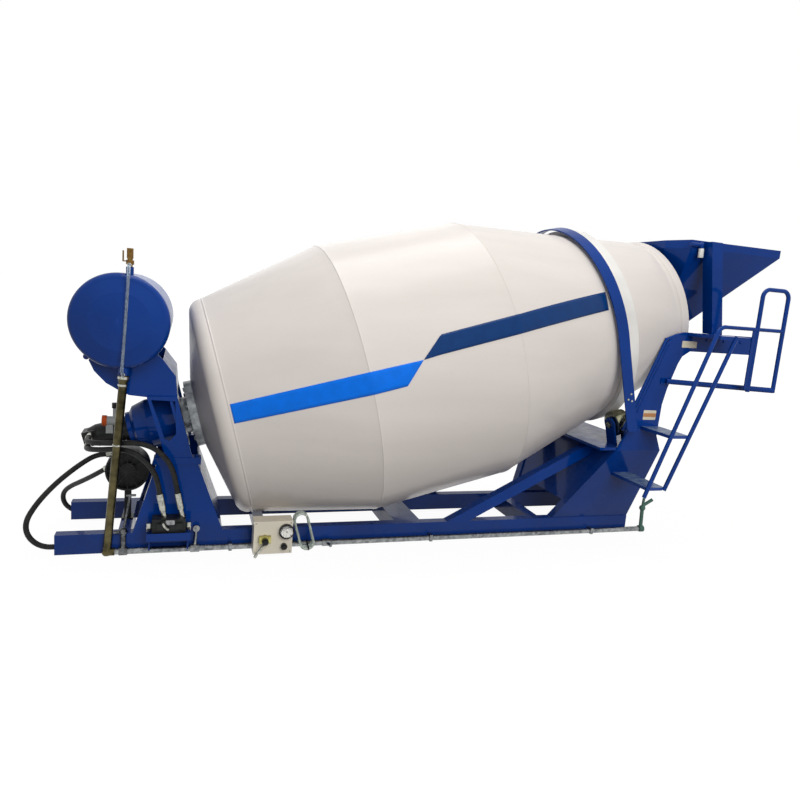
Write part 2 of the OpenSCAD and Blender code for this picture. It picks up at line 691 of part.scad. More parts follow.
// Hose routes, ferrule to ferrule, and the ferrules at their ends
hose_r = 20;
ferrule_r = 26;
ferrule_len = 125;
upper_route = [[866, -560, 510], [850, -560, 590], [832, -559, 668], [798, -556, 744], [748, -550, 808],
    [680, -537, 856], [596, -511, 880], [506, -480, 880], [422, -455, 872], [345, -434, 866], [270, -395, 860],
    [218, -330, 853], [200, -260, 845], [200, -185, 845]];
lower_route = [[738, -560, 505], [722, -560, 585], [698, -558, 660], [655, -552, 728], [595, -536, 784],
    [525, -508, 818], [448, -466, 826], [370, -438, 820], [298, -400, 808], [235, -342, 796], [203, -275, 786],
    [194, -225, 781], [194, -185, 781]];
near_route = [[320, -140, 706], [270, -146, 700], [215, -158, 680], [150, -184, 640], [85, -214, 592],
    [13, -250, 532], [-52, -286, 468], [-112, -322, 398], [-158, -352, 330], [-186, -374, 272], [-195, -386, 215],
    [-185, -388, 159], [-156, -388, 109], [-112, -388, 72], [-59, -388, 53], [0, -388, 50], [60, -388, 50],
    [110, -388, 50]];
far_route = [[300, 20, 540], [250, 48, 503], [195, 95, 460], [135, 160, 412], [75, 230, 365], [15, 300, 318],
    [-35, 352, 270], [-63, 382, 222], [-66, 388, 172], [-48, 388, 125], [-12, 388, 88], [36, 388, 62],
    [90, 388, 50], [150, 388, 50]];
// Ferrule from a fitting's face at p0 to the hose's end at p1
module ferrule(p0, p1) {
    rod(p0, p1, ferrule_r);
}
// Port on the cooler's rim, in line with the first stretch of its hose
port_reach = 110;
module cooler_port(route) {
    difference() {
        rod(route[0] + port_reach * unit(route[0] - route[1]), route[0], ferrule_r);
        translate([cooler_c[0], route[0][1], cooler_c[2]]) rotate([90, 0, 0])
            cylinder(r = cooler_r + touch, h = 2 * cooler_depth, center = true);
    }
}
module hose_fittings() color(steel) framed() {
    for (route = [upper_route, lower_route]) {
        start = route[0];
        end = route[len(route) - 1];
        way = unit(route[1] - start);
        ferrule(start - ferrule_len * way, start);
        difference() {
            rod(start - 1.6 * ferrule_len * way, start - ferrule_len / 2 * way, hose_r);
            translate([block_x[0], block_y[0], block_z]) cube([block_x[1] - block_x[0], block_y[1] - block_y[0], block_h]);
        }
        ferrule([end[0], -motor_r, end[2]], end);
    }
    cooler_port(near_route);
    cooler_port(far_route);
}
module pump_hose_near() color(black) framed() cord(near_route, hose_r);
module pump_hose_far() color(black) framed() cord(far_route, hose_r);
module motor_hose_upper() color(black) framed() cord(upper_route, hose_r);
module motor_hose_lower() color(black) framed() cord(lower_route, hose_r);

// Control box and its fittings, hung on a bracket outside the rail
box_x = 1440;
box_y0 = -640;
box_y1 = -505;
box_z = 18;
hang_in = 60;
hang_z = 90;
hang_h = 50;
module control_box() color(cream) framed() {
    translate([box_x, box_y0, box_z]) cube([box_w, box_y1 - box_y0, box_h]);
    translate([box_x + hang_in, box_y1, hang_z]) cube([box_w - 2 * hang_in, -rail_out_y - box_y1, hang_h]);
}
gauge_x = box_x + box_w - 52;
gauge_z = 208;
gauge_depth = 34;
gauge_rim = 7;
module pressure_gauge() color(black) framed() translate([gauge_x, box_y0, gauge_z]) rotate([90, 0, 0])
    difference() {
        cylinder(r = gauge_r, h = gauge_depth);
        translate([0, 0, gauge_depth - 6]) cylinder(r = gauge_r - gauge_rim, h = gauge_rim);
    }
knob_c = [gauge_x - 14, 82];
knob_r = 25;
knob_len = 30;
knob_tip_r = 18;
knob_tip_len = 14;
module control_knob() color(black) framed() translate([knob_c[0], box_y0, knob_c[1]]) rotate([90, 0, 0]) {
    cylinder(r = knob_r, h = knob_len);
    translate([0, 0, knob_len]) cylinder(r = knob_tip_r, h = knob_tip_len);
}
lever_c = [box_x + 85, 150];
module control_lever() color(brass) framed() {
    translate([lever_c[0], box_y0, lever_c[1]]) rotate([90, 0, 0]) cylinder(r = 30, h = 40);
    translate([lever_c[0] - 45, box_y0 - 46, lever_c[1] - 26]) cube([90, 40, 52]);
    translate([lever_c[0], box_y0 - 62, lever_c[1] - 10]) sphere(r = 26);
    rod([lever_c[0], box_y0 - 60, lever_c[1] - 10], [lever_c[0] - 78, box_y0 - 66, 22], 9);
}

// Spare clear hose wound into a hank that stands beside the box and leans on the main
hank_c = [1852, 165];
hank_tilt = 16;
hank_r = 9;
hank_turn_r = 54;
hank_run = 200;
hank_turns = 4;
hank_arc_steps = 8;
hank_run_steps = 4;
hank_pitch = 2 * hank_r + 1;
hank_steps = 2 * (hank_arc_steps + hank_run_steps);
hank_y0 = main_y - main_r - hank_r - touch;
// Place on the racetrack of one turn after step i, as [across, up]
function hank_at(i) =
    let (k = i % hank_steps, half = hank_arc_steps + hank_run_steps, j = k % half, side = k < half ? 1 : -1)
    side * (j < hank_arc_steps
        ? [hank_turn_r * cos(180 * j / hank_arc_steps), hank_run / 2 + hank_turn_r * sin(180 * j / hank_arc_steps)]
        : [-hank_turn_r, hank_run / 2 - hank_run * (j - hank_arc_steps) / hank_run_steps]);
hank_route = [for (i = [0:hank_turns * hank_steps])
    let (q = hank_at(i))
    [hank_c[0] + q[0] * cos(hank_tilt) - q[1] * sin(hank_tilt), hank_y0 - hank_pitch * i / hank_steps,
     hank_c[1] + q[0] * sin(hank_tilt) + q[1] * cos(hank_tilt)]];
module clear_hose_coil() color(clear_tube) framed() cord(hank_route, hank_r);

// Rear pedestal: plates that flare from the rails out to the arms
ped_x0 = 4243;
ped_x1 = rail_len - 5;
flare_top_z = shelf_z - 25;
flare_x0 = 4612;
flare_x1 = 5092;
band_top_z = 1040;
band_step = 74;
band_back = 60;
strip_w = 160;
strip_t = 16;
function leg_x(z) = ped_x0 + (flare_x0 - ped_x0) * (z - rail_h) / (flare_top_z - rail_h);
module flared(inner, wide) {
    cross_bar(ped_x0 - 200, 1400, [[-rail_out_y + inner, rail_h], [-arm_y + inner, flare_top_z],
        [-arm_y + inner + wide, flare_top_z], [-rail_out_y + inner + wide, rail_h]]);
}
module rear_pedestal_side() {
    intersection() {
        flared(0, plate_t);
        side_plate(-arm_y, arm_y, [[ped_x0, rail_h], [ped_x1, rail_h], [flare_x1, flare_top_z], [flare_x0, flare_top_z]]);
    }
    intersection() {
        flared(plate_t, rail_w - plate_t);
        side_plate(-arm_y, arm_y, [[ped_x0, rail_h], [ped_x0 + strip_t, rail_h], [flare_x0 + strip_t, flare_top_z],
            [flare_x0, flare_top_z]]);
    }
    side_plate(-arm_y, plate_t, [[flare_x0, flare_top_z], [flare_x1, flare_top_z], [flare_x1 - band_back, band_top_z],
        [flare_x0 + band_step, band_top_z]]);
}
module rear_pedestal_near() color(blue) framed() rear_pedestal_side();
module rear_pedestal_far() color(blue) framed() mirror([0, 1, 0]) rear_pedestal_side();

panel_low_z = 330;
module pedestal_panel() color(blue) framed() {
    panel_set = strip_t;
    intersection() {
        cross_bar(ped_x0 - 200, 1400, [[-rail_out_y + plate_t, rail_h], [-arm_y + plate_t, flare_top_z],
            [arm_y - plate_t, flare_top_z], [rail_out_y - plate_t, rail_h]]);
        side_plate(-arm_y, 2 * arm_y, [[leg_x(panel_low_z) + panel_set, panel_low_z],
            [leg_x(panel_low_z) + panel_set + plate_t, panel_low_z],
            [flare_x0 + panel_set + plate_t, flare_top_z], [flare_x0 + panel_set, flare_top_z]]);
    }
}
shelf_x0 = 4440;
shelf_x1 = 5040;
module roller_shelf() color(blue) framed() {
    translate([shelf_x0, -arm_y + plate_t, flare_top_z])
        cube([shelf_x1 - shelf_x0, 2 * (arm_y - plate_t), shelf_z - flare_top_z]);
    both_sides() translate([shelf_x0, -arm_y, flare_top_z])
        cube([flare_x0 - shelf_x0 - 2, plate_t, shelf_z - flare_top_z]);
}

// Braces from the rails up to the pedestal panel
brace_foot_x = 3274;
brace_h = 100;
brace_rise = 27.5;
brace_back = 200;
brace_len = 2000;
brace_cut = 600;
module rear_braces() color(blue) framed() {
    both_sides() difference() {
        translate([brace_foot_x, -rail_mid_y, rail_h]) rotate([0, -brace_rise, 0]) difference() {
            translate([-brace_back, -rail_w / 2, -brace_h / 2]) cube([brace_len, rail_w, brace_h]);
            translate([-brace_back - 1, -rail_w / 2 + plate_t, -brace_h / 2 - 1])
                cube([brace_len + 2, rail_w, brace_h - plate_t + 1]);
        }
        translate([brace_foot_x - brace_cut, -rail_out_y - 1, rail_h - brace_cut])
            cube([2 * brace_cut, 2 * rail_w, brace_cut]);
        side_plate(-rail_out_y - 1, 2 * rail_w, [[leg_x(0) + strip_t, 0], [leg_x(brace_len) + strip_t, brace_len],
            [hopper_tip_x, brace_len], [hopper_tip_x, 0]]);
        translate([brace_foot_x, -rail_out_y - 1, flare_top_z]) cube([rail_len, 2 * rail_w, shelf_z]);
    }
}

// Rollers under the track, each on a pin between two cheeks
roller_rad = track_r + touch + roller_r;
cheek_t = 20;
cheek_gap = 8;
hub_step = 22;
cheek_w = 130;
stem_len = 450;
shelf_cut = 500;
pin_len = roller_w + 2 * (cheek_gap + cheek_t) + 30;
module at_roller(side) {
    on_axis(track_s) rotate([side * roller_angle, 0, 0]) translate([0, 0, -roller_rad]) children();
}
module roller(side) {
    at_roller(side) rotate([0, 90, 0]) {
        cylinder(r = roller_r, h = roller_w, center = true);
        cylinder(r = pin_r, h = pin_len, center = true);
        cylinder(r = pin_r + hub_step, h = roller_w + 2 * cheek_gap - 2, center = true);
    }
}
module roller_near() color(zinc) framed() roller(-1);
module roller_far() color(zinc) framed() roller(1);
cheek_chamfer = 38;
cheek_outline = [[-cheek_w / 2, -stem_len], [cheek_w / 2, -stem_len], [cheek_w / 2, cheek_w / 2 - cheek_chamfer],
    [cheek_w / 2 - cheek_chamfer, cheek_w / 2], [cheek_chamfer - cheek_w / 2, cheek_w / 2],
    [-cheek_w / 2, cheek_w / 2 - cheek_chamfer]];
module roller_brackets() color(blue) framed() {
    for (side = [-1, 1]) difference() {
        union() for (end = [-1, 1])
            at_roller(side) translate([end * (roller_w / 2 + cheek_gap + cheek_t / 2) - cheek_t / 2, 0, 0])
                rotate([-side * roller_angle, 0, 0])
                    rotate([90, 0, 90])
                        linear_extrude(height = cheek_t) polygon(cheek_outline);
        at_roller(side) rotate([0, 90, 0]) cylinder(r = pin_r + run_fit, h = 2 * pin_len, center = true);
        translate([shelf_x0 - shelf_cut, -2 * arm_y, shelf_z - 2 * shelf_cut])
            cube([4 * shelf_cut, 4 * arm_y, 2 * shelf_cut]);
    }
}

// Gooseneck arms that carry hopper and platform
arm_end_x = 5965;
arm_drop = 170;
knee_x = 5045;
knee_drop = 66;
arm_outline = [[flare_x0 + band_step, band_top_z], [flare_x1 - band_back, band_top_z], [5042, 1330],
    [5074, 1480], [5153, 1710], [5190, 1780], [5267, arm_top_z - arm_drop], [arm_end_x, arm_top_z - arm_drop], [arm_end_x, arm_top_z],
    [5188, arm_top_z], [5110, arm_top_z - 20], [knee_x, arm_top_z - knee_drop]];
module rear_arm() {
    difference() {
        side_plate(-arm_y, arm_depth, arm_outline);
        translate([0, -arm_y + arm_depth + 1, 0]) rotate([90, 0, 0]) linear_extrude(height = arm_depth - plate_t + 1)
            offset(delta = -plate_t) polygon(arm_outline);
    }
}
module rear_arm_near() color(blue) framed() rear_arm();
module rear_arm_far() color(blue) framed() mirror([0, 1, 0]) rear_arm();

beam_x = 5730;
beam_lift = 40;
beam_w = 110;
beam_h = 90;
module arm_crossbeam() color(blue) framed() {
    translate([beam_x, -arm_y + plate_t, arm_top_z - arm_drop + beam_lift])
        cube([beam_w, 2 * (arm_y - plate_t), beam_h]);
}

// Hoop over the drum neck, standing on the shelf
hoop_s = 2285;
hoop_t = 12;
hoop_leg_low = 1130;
hoop_tab_x = 4558;
hoop_tab_w = 84;
hoop_seat_x = 4728;
hoop_tab_len = 104;
module hoop() color(blue) framed() {
    difference() {
        on_axis(hoop_s) turned([[-hoop_w / 2, hoop_r - hoop_t], [-hoop_w / 2, hoop_r], [hoop_w / 2, hoop_r],
            [hoop_w / 2, hoop_r - hoop_t]]);
        on_axis(hoop_s) translate([-hoop_w, -2 * hoop_r, -2 * hoop_r]) cube([2 * hoop_w, 4 * hoop_r, 2 * hoop_r]);
    }
    both_sides() difference() {
        on_axis(hoop_s) translate([-hoop_w / 2, -hoop_r, -1000]) cube([hoop_w, hoop_t, 1000]);
        translate([0, -2 * hoop_r, hoop_leg_low - 1000]) cube([2 * drum_x + 4000, 4 * hoop_r, 1000]);
    }
    both_sides() translate([0, 0, hoop_leg_low - hoop_t]) linear_extrude(height = hoop_t)
        polygon([[hoop_tab_x, -hoop_r], [hoop_tab_x + hoop_tab_w, -hoop_r], [hoop_seat_x + hoop_tab_len, -arm_y],
            [hoop_seat_x, -arm_y], [hoop_tab_x, -hoop_r + hoop_tab_w / 2]]);
}

// Charging hopper: plate funnel with a spout that reaches into the drum mouth
rim_h = 70;
rim_x0 = 5215;
wing_x = 5140;
wing_y = 380;
throat_z = 2080;
throat_x = [5330, 5600];
throat_half = 285;
spout_x = [4960, 5190];
spout_z = 1905;
spout_half = 235;
module hopper_top(inset, z, h) {
    translate([0, 0, z]) linear_extrude(height = h) polygon([
        [rim_x0 + inset, -hopper_half_w + inset], [hopper_tip_x - inset, -hopper_half_w + inset],
        [hopper_tip_x - inset, hopper_half_w - inset], [rim_x0 + inset, hopper_half_w - inset],
        [wing_x + inset, wing_y], [wing_x + inset, -wing_y]]);
}
module hopper_ring(x, half, z, inset, h) {
    translate([x[0] + inset, -half + inset, z]) cube([x[1] - x[0] - 2 * inset, 2 * (half - inset), h]);
}
module hopper() color(blue) framed() {
    sheet = 1;
    difference() {
        union() {
            hopper_top(0, hopper_top_z - rim_h, rim_h);
            hull() {
                hopper_top(0, hopper_top_z - rim_h - sheet, sheet);
                hopper_ring(throat_x, throat_half, throat_z, 0, sheet);
            }
            hull() {
                hopper_ring(throat_x, throat_half, throat_z, 0, sheet);
                hopper_ring(spout_x, spout_half, spout_z, 0, sheet);
            }
        }
        hopper_top(hopper_t, hopper_top_z - rim_h - sheet, rim_h + 2 * sheet);
        hull() {
            hopper_top(hopper_t, hopper_top_z - rim_h - sheet, 2 * sheet);
            hopper_ring(throat_x, throat_half, throat_z - sheet, hopper_t, 2 * sheet);
        }
        hull() {
            hopper_ring(throat_x, throat_half, throat_z, hopper_t, 2 * sheet);
            hopper_ring(spout_x, spout_half, spout_z - sheet, hopper_t, sheet);
        }
    }
}
post_w = 118;
post_wall = 8;
post_foot_x = 5487;
post_head_x = 5336;
post_head_z = hopper_top_z - 12;
module hopper_posts() color(blue) framed() {
    both_sides() difference() {
        side_plate(-hopper_half_w - post_w, post_w, [[post_foot_x, arm_top_z], [post_foot_x + post_w, arm_top_z],
            [post_head_x + post_w, post_head_z], [post_head_x, post_head_z]]);
        side_plate(-hopper_half_w - post_w + post_wall, post_w - 2 * post_wall,
            [[post_foot_x + post_wall, arm_top_z - 1], [post_foot_x + post_w - post_wall, arm_top_z - 1],
             [post_head_x + post_w - post_wall, post_head_z - post_wall],
             [post_head_x + post_wall, post_head_z - post_wall]]);
    }
}
flush_r = 17;
flush_elbow_r = flush_r + 8;
flush_x = post_head_x - flush_elbow_r - clear_move;
flush_clip_x = 20;
flush_clip_w = 30;
flush_y = -hopper_half_w - flush_elbow_r - touch;
flush_z = hopper_top_z - 42;
module flush_pipe() color(blue) framed() {
    rod([rim_x0 - 30, flush_y, flush_z], [flush_x, flush_y, flush_z], flush_r);
    translate([flush_x, flush_y, flush_z]) sphere(r = flush_elbow_r);
    rod([flush_x, flush_y, flush_z], [flush_x + 8, flush_y, flush_z - 110], flush_r + 4);
    translate([rim_x0 + flush_clip_x, flush_y, flush_z - flush_r - 3])
        cube([flush_clip_w, -hopper_half_w - flush_y, 2 * flush_r + 6]);
}

// Ladder, platform and guard on the near side
s1_low = [4661, -ladder_y, 579];
s1_high = [5179, -ladder_y, 2025];
s2_low = [4858, -ladder_y, 640];
s2_high = [5388, -ladder_y, 2000];
function on_tube(a, b, z) = along(a, b, (z - a[2]) / (b[2] - a[2]));
tread_z = [640, 1100];
tread_root = [-648, -arm_y];
s1_rise = unit(s1_high - s1_low);
s1_bend_r = 80;
s1_bend_lap = 2;
s1_bend_c = s1_high + s1_bend_r * [s1_rise[2], 0, -s1_rise[0]];
module ladder_tubes() color(blue) framed() {
    rod(s1_low, s1_high, tube_r);
    rod(s2_low, s2_high, tube_r);
    translate(s1_bend_c) rotate([90, 0, 0]) rotate([0, 0, 90])
        rotate_extrude(angle = acos(s1_rise[0]) + s1_bend_lap) translate([s1_bend_r, 0]) circle(r = tube_r - 0.5);
}
tread_nose = 6;
module ladder_treads() color(blue) framed() {
    for (i = [0:1]) {
        x0 = on_tube(s1_low, s1_high, tread_z[i])[0];
        x1 = on_tube(s2_low, s2_high, tread_z[i])[0];
        difference() {
            translate([x0 - tread_nose, -ladder_y, tread_z[i]])
                cube([x1 - x0 + 2 * tread_nose, ladder_y + tread_root[i], tread_t]);
            for (s = [[s1_low, s1_high], [s2_low, s2_high]])
                rod(along(s[0], s[1], -0.1), along(s[0], s[1], 1.1), tube_r + touch);
            flared(0, rail_w);
        }
    }
}
guard_x = [5600, 5888];
platform_x = [5215, guard_x[0] - tube_r - touch];
platform_t = 30;
module platform() color(zinc) framed() {
    z0 = arm_top_z - platform_t;
    difference() {
        translate([platform_x[0], -ladder_y, z0]) cube([platform_x[1] - platform_x[0], ladder_y - arm_y, platform_t]);
        rod(along(s1_low, s1_high, -0.1), along(s1_low, s1_high, 1.1), tube_r + touch);
        rod(along(s2_low, s2_high, -0.1), along(s2_low, s2_high, 1.1), tube_r + touch);
    }
}
guard_low_z = 1530;
guard_bend = 70;
guard_top_z = 2425;
bar_r = tube_r - 2;
bar_z = s1_bend_c[2] + s1_bend_r;
low_bar_r = tube_r + 6;
hanger_w = 58;
hanger_t = 8;
pad_size = [80, 8, 60];
hanger_x = guard_x[0] - 52;
brace_foot = [5030, -arm_y - low_bar_r - 4, guard_low_z + 20];
module guard_corner(x, from) {
    translate([x, -ladder_y, guard_top_z - guard_bend]) rotate([90, 0, 0]) rotate([0, 0, from])
        rotate_extrude(angle = 90) translate([guard_bend, 0]) circle(r = tube_r);
}
module guard_rail() color(blue) framed() {
    rod([s1_bend_c[0] + touch, -ladder_y, bar_z], [guard_x[1], -ladder_y, bar_z], bar_r);
    translate([hanger_x, -ladder_y - hanger_t - 1, guard_low_z + 20])
        cube([hanger_w, hanger_t, bar_z - guard_low_z - 20]);
    for (x = guard_x)
        rod([x, -ladder_y, guard_low_z], [x, -ladder_y, guard_top_z - guard_bend], tube_r);
    rod([guard_x[0] + guard_bend, -ladder_y, guard_top_z], [guard_x[1] - guard_bend, -ladder_y, guard_top_z], tube_r);
    guard_corner(guard_x[0] + guard_bend, 90);
    guard_corner(guard_x[1] - guard_bend, 0);
    rod(brace_foot, [guard_x[1], -ladder_y, guard_low_z + 20], low_bar_r);
    translate([brace_foot[0] - pad_size[0] / 2, -arm_y - pad_size[1], brace_foot[2] - pad_size[2] / 2]) cube(pad_size);
}
// Two pipes laid along the near arm's front edge
arm_pipe_r = 13;
arm_foot = [flare_x0 + band_step, 0, band_top_z];
arm_knee = [knee_x, 0, arm_top_z - knee_drop];
arm_way = unit(arm_knee - arm_foot);
arm_normal = [-arm_way[2], 0, arm_way[0]];
arm_pipe_off = 20;
arm_pipe_y = [0, -arm_y, 0];
arm_clip_r = 8;
arm_clip_at = [0.2, 0.72];
arm_top_edge = [[knee_x, 0, arm_top_z - knee_drop], [5110, 0, arm_top_z - 20]];
function pipe_off(k) = arm_normal * (arm_pipe_off + k * (2 * arm_pipe_r + 2)) + arm_pipe_y;
module arm_pipes() color(blue) framed() difference() {
    union() {
        for (k = [0, 1]) {
            top = arm_knee + (k - 2) * 2 * arm_pipe_r * arm_way + pipe_off(k);
            rod(arm_foot + 2 * arm_pipe_r * arm_way + pipe_off(k), top, arm_pipe_r);
            translate(top) sphere(r = arm_pipe_r + 2);
            rod(top, along(arm_top_edge[0], arm_top_edge[1], 0.25 + 0.5 * k) + arm_pipe_y, arm_pipe_r);
        }
        for (t = arm_clip_at) {
            seat = along(arm_foot, arm_knee, t);
            rod(seat + arm_pipe_y - arm_normal, seat + pipe_off(1), arm_clip_r);
        }
    }
    side_plate(-arm_y - arm_depth, 2 * arm_depth, arm_outline);
}

rail_near();
rail_far();
cross_members();
hold_down_ears();
rear_braces();
front_pedestal();
gearbox_yoke();
tank_saddle();
water_tank();
tank_valve();
sight_tube();
water_down_pipe();
water_main();
pipe_clips();
shut_off_valve();
line_tees();
rear_wash_valve();
gearbox();
hydraulic_motor();
oil_cooler();
cooler_stand();
oil_filter();
junction_block();
junction_tray();
hose_fittings();
control_box();
pressure_gauge();
control_lever();
control_knob();
rear_pedestal_near();
rear_pedestal_far();
pedestal_panel();
roller_shelf();
roller_brackets();
rear_arm_near();
rear_arm_far();
arm_crossbeam();
hoop();
hopper();
hopper_posts();
flush_pipe();
ladder_tubes();
ladder_treads();
platform();
guard_rail();
arm_pipes();
pump_hose_near();
pump_hose_far();
motor_hose_upper();
motor_hose_lower();
clear_hose_coil();
drum_shell();
drum_track();
drive_flange();
mixing_blades();
roller_near();
roller_far();
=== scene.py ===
"""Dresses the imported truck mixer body: enamel and steel finishes, drum skin with its stripes, hoses, fasteners,
fittings, and the plain studio with the photograph's camera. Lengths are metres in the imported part's frame
unless a comment says otherwise."""

import json
import math

import bpy
import numpy as np
from mathutils import Matrix


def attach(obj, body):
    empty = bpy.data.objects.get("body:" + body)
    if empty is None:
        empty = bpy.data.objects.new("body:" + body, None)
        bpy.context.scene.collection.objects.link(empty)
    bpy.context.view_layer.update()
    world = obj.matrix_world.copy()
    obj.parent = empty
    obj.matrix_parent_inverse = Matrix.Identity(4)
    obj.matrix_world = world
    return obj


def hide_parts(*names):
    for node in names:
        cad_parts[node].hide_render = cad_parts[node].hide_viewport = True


bl_info = {
    "name": "Truck Mixer Body Dressing",
    "version": (1, 0, 0),
    "blender": (4, 5, 0),
    "location": "View3D > Sidebar > Mixer",
    "description": "Paints and details a truck mixer's upper body around its solid frame",
    "category": "Object",
}

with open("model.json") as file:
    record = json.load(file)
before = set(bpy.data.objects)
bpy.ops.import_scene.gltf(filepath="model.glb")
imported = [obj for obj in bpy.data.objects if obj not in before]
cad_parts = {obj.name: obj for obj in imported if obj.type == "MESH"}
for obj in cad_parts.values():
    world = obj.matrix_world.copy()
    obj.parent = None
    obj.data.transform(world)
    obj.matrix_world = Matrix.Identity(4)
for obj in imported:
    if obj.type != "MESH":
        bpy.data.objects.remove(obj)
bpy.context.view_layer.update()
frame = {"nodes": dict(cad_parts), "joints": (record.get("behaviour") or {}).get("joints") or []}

MM = 0.001
# Rails' front ends in the part's frame: routes below are measured from there, in millimetres
RAIL_FRONT = np.array([-3132.0, 0.0, 0.0])
DRUM_SPIN = next(j for j in frame["joints"] if j["name"] == "drum_spin")
DRUM_POINT = np.array(DRUM_SPIN["pos_m"])
DRUM_AXIS = np.array(DRUM_SPIN["axis"])
DRUM_UP = np.array([-DRUM_AXIS[2], 0.0, DRUM_AXIS[0]])
NEAR, RIGHT, UP = np.array([0.0, -1.0, 0.0]), np.array([1.0, 0.0, 0.0]), np.array([0.0, 0.0, 1.0])


def linear(code):
    """Linear RGB of an sRGB hex code: each channel by the standard's two-part curve."""
    channel = np.array([int(code[i:i + 2], 16) for i in (1, 3, 5)]) / 255
    return tuple(np.where(channel <= 0.04045, channel / 12.92, ((channel + 0.055) / 1.055) ** 2.4))


def colour(name, description, code):
    """A colour property with its default given as sRGB hex."""
    return bpy.props.FloatVectorProperty(
        name=name, description=description, subtype="COLOR", size=3, min=0, max=1, default=linear(code))


def length(name, description, default):
    """A length property in metres."""
    return bpy.props.FloatProperty(
        name=name, description=description, default=default, min=0, subtype="DISTANCE", unit="LENGTH",
        precision=4)


class MixerPaint(bpy.types.PropertyGroup):
    frame_blue: colour("Frame blue", "Gloss enamel of subframe, arms, tank and hopper", "#003787")
    drum_white: colour("Drum white", "Warm white enamel of the drum", "#E4DCD5")
    stripe_light: colour("Light stripe", "Bright blue stripe on the drum's front half", "#0074EC")
    stripe_dark: colour("Dark stripe", "Deep blue stripe on the drum's rear half", "#01356E")
    box_cream: colour("Box cream", "Enamel of the control box", "#F3EBD8")
    handle_green: colour("Handle green", "Enamel of the wash valve's handle", "#557A6C")


class MixerDrum(bpy.types.PropertyGroup):
    weld_height: length("Weld height", "Height of the ground weld over a drum seam", 0.0030)
    weld_width: length("Weld width", "Width of the weld over a drum seam", 0.014)
    sheet_wave: length("Sheet wave", "Depth of the rolled sheets' long waves", 0.0016)
    stripe_lift: length("Stripe lift", "Height of a stripe's film over the paint", 0.0012)


class MixerFittings(bpy.types.PropertyGroup):
    hose_radius: length("Hose radius", "Outer radius of a hydraulic hose", 0.020)
    hank_radius: length("Hank tube radius", "Outer radius of the clear hose", 0.009)
    bolt_radius: length("Bolt radius", "Half the width of a bolt head over its corners", 0.014)


class MixerView(bpy.types.PropertyGroup):
    eye: bpy.props.FloatVectorProperty(
        name="Eye", description="Place of the camera", default=(-2.255, -5.603, 2.128), subtype="TRANSLATION",
        unit="LENGTH")
    yaw: bpy.props.FloatProperty(
        name="Yaw", description="Turn to the right of straight across", default=math.radians(18.711),
        subtype="ANGLE", unit="ROTATION")
    pitch: bpy.props.FloatProperty(
        name="Pitch", description="Rise of the view", default=math.radians(-9.115), subtype="ANGLE",
        unit="ROTATION")
    roll: bpy.props.FloatProperty(
        name="Roll", description="Roll of the picture", default=math.radians(4.626), subtype="ANGLE",
        unit="ROTATION")
    lens: bpy.props.FloatProperty(
        name="Lens", description="Focal length on a 36 mm wide sensor, in millimetres", default=29.393, min=1)


# Surfaces: grids of points, turned or carried profiles


def quads(rows, columns, wrap_rows):
    """Corner numbers of a grid's faces: each cell joins its row and the next, its column and the next round."""
    i = np.arange(rows if wrap_rows else rows - 1)[:, None]
    k = np.arange(columns)[None, :]
    i2, k2 = (i + 1) % rows, (k + 1) % columns
    corners = [i * columns + k, i * columns + k2, i2 * columns + k2, i2 * columns + k]
    return np.stack(np.broadcast_arrays(*corners), axis=-1).reshape(-1, 4)


class Skin:
    """Collects grids of points into one mesh piece."""

    def __init__(self):
        self.points = []
        self.faces = []
        self.count = 0

    def grid(self, points, wrap_rows=False, caps=(False, False), flip=False):
        """Adds a grid of rows by columns by 3, closed round its columns: caps close the first and the last row
        with one face each, flip turns every face over."""
        rows, columns = points.shape[:2]
        ring = np.arange(columns)
        faces = quads(rows, columns, wrap_rows).tolist()
        if caps[0]:
            faces.append(ring[::-1].tolist())
        if caps[1]:
            faces.append((ring + (rows - 1) * columns).tolist())
        self.faces += [[self.count + corner for corner in (face[::-1] if flip else face)] for face in faces]
        self.points.append(points.reshape(-1, 3))
        self.count += rows * columns
        return self

    def mesh(self, name, material, smooth):
        """One mesh of all the grids, with its finish."""
        made = bpy.data.meshes.new(name)
        made.from_pydata(np.concatenate(self.points).tolist(), [], self.faces)
        made.polygons.foreach_set("use_smooth", np.full(len(made.polygons), smooth))
        made.materials.append(material)
        made.update()
        return made

    def piece(self, name, material, body, slot, smooth=True):
        """Makes the object, gives it its finish and lets it ride on its body."""
        made = bpy.data.objects.new(name, self.mesh(name, material, smooth))
        bpy.context.scene.collection.objects.link(made)
        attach(made, body)
        return made


def solid(name, points, finish, slot, smooth=True):
    """One closed piece of the frame: a single grid with both ends capped."""
    return Skin().grid(points, caps=(True, True)).piece(name, FINISH[finish], "frame", slot, smooth)


def across(axis):
    """Two unit vectors square to an axis and to each other, so that side x up points along the axis."""
    axis = np.asarray(axis, float) / np.linalg.norm(axis)
    side = np.cross([0, 0, 1.0] if abs(axis[2]) < 0.9 else [0, 1.0, 0], axis)
    side /= np.linalg.norm(side)
    return axis, side, np.cross(axis, side)


def lathe(profile, origin, axis, sides=48):
    """A profile of [station, radius] rows turned about an axis: origin + station along it + radius round it."""
    axis, side, up = across(axis)
    profile = np.asarray(profile, float)
    angle = np.arange(sides) * 2 * np.pi / sides
    round_it = np.cos(angle)[:, None] * side + np.sin(angle)[:, None] * up
    return np.asarray(origin) + profile[:, :1, None] * axis + profile[:, 1:, None] * round_it


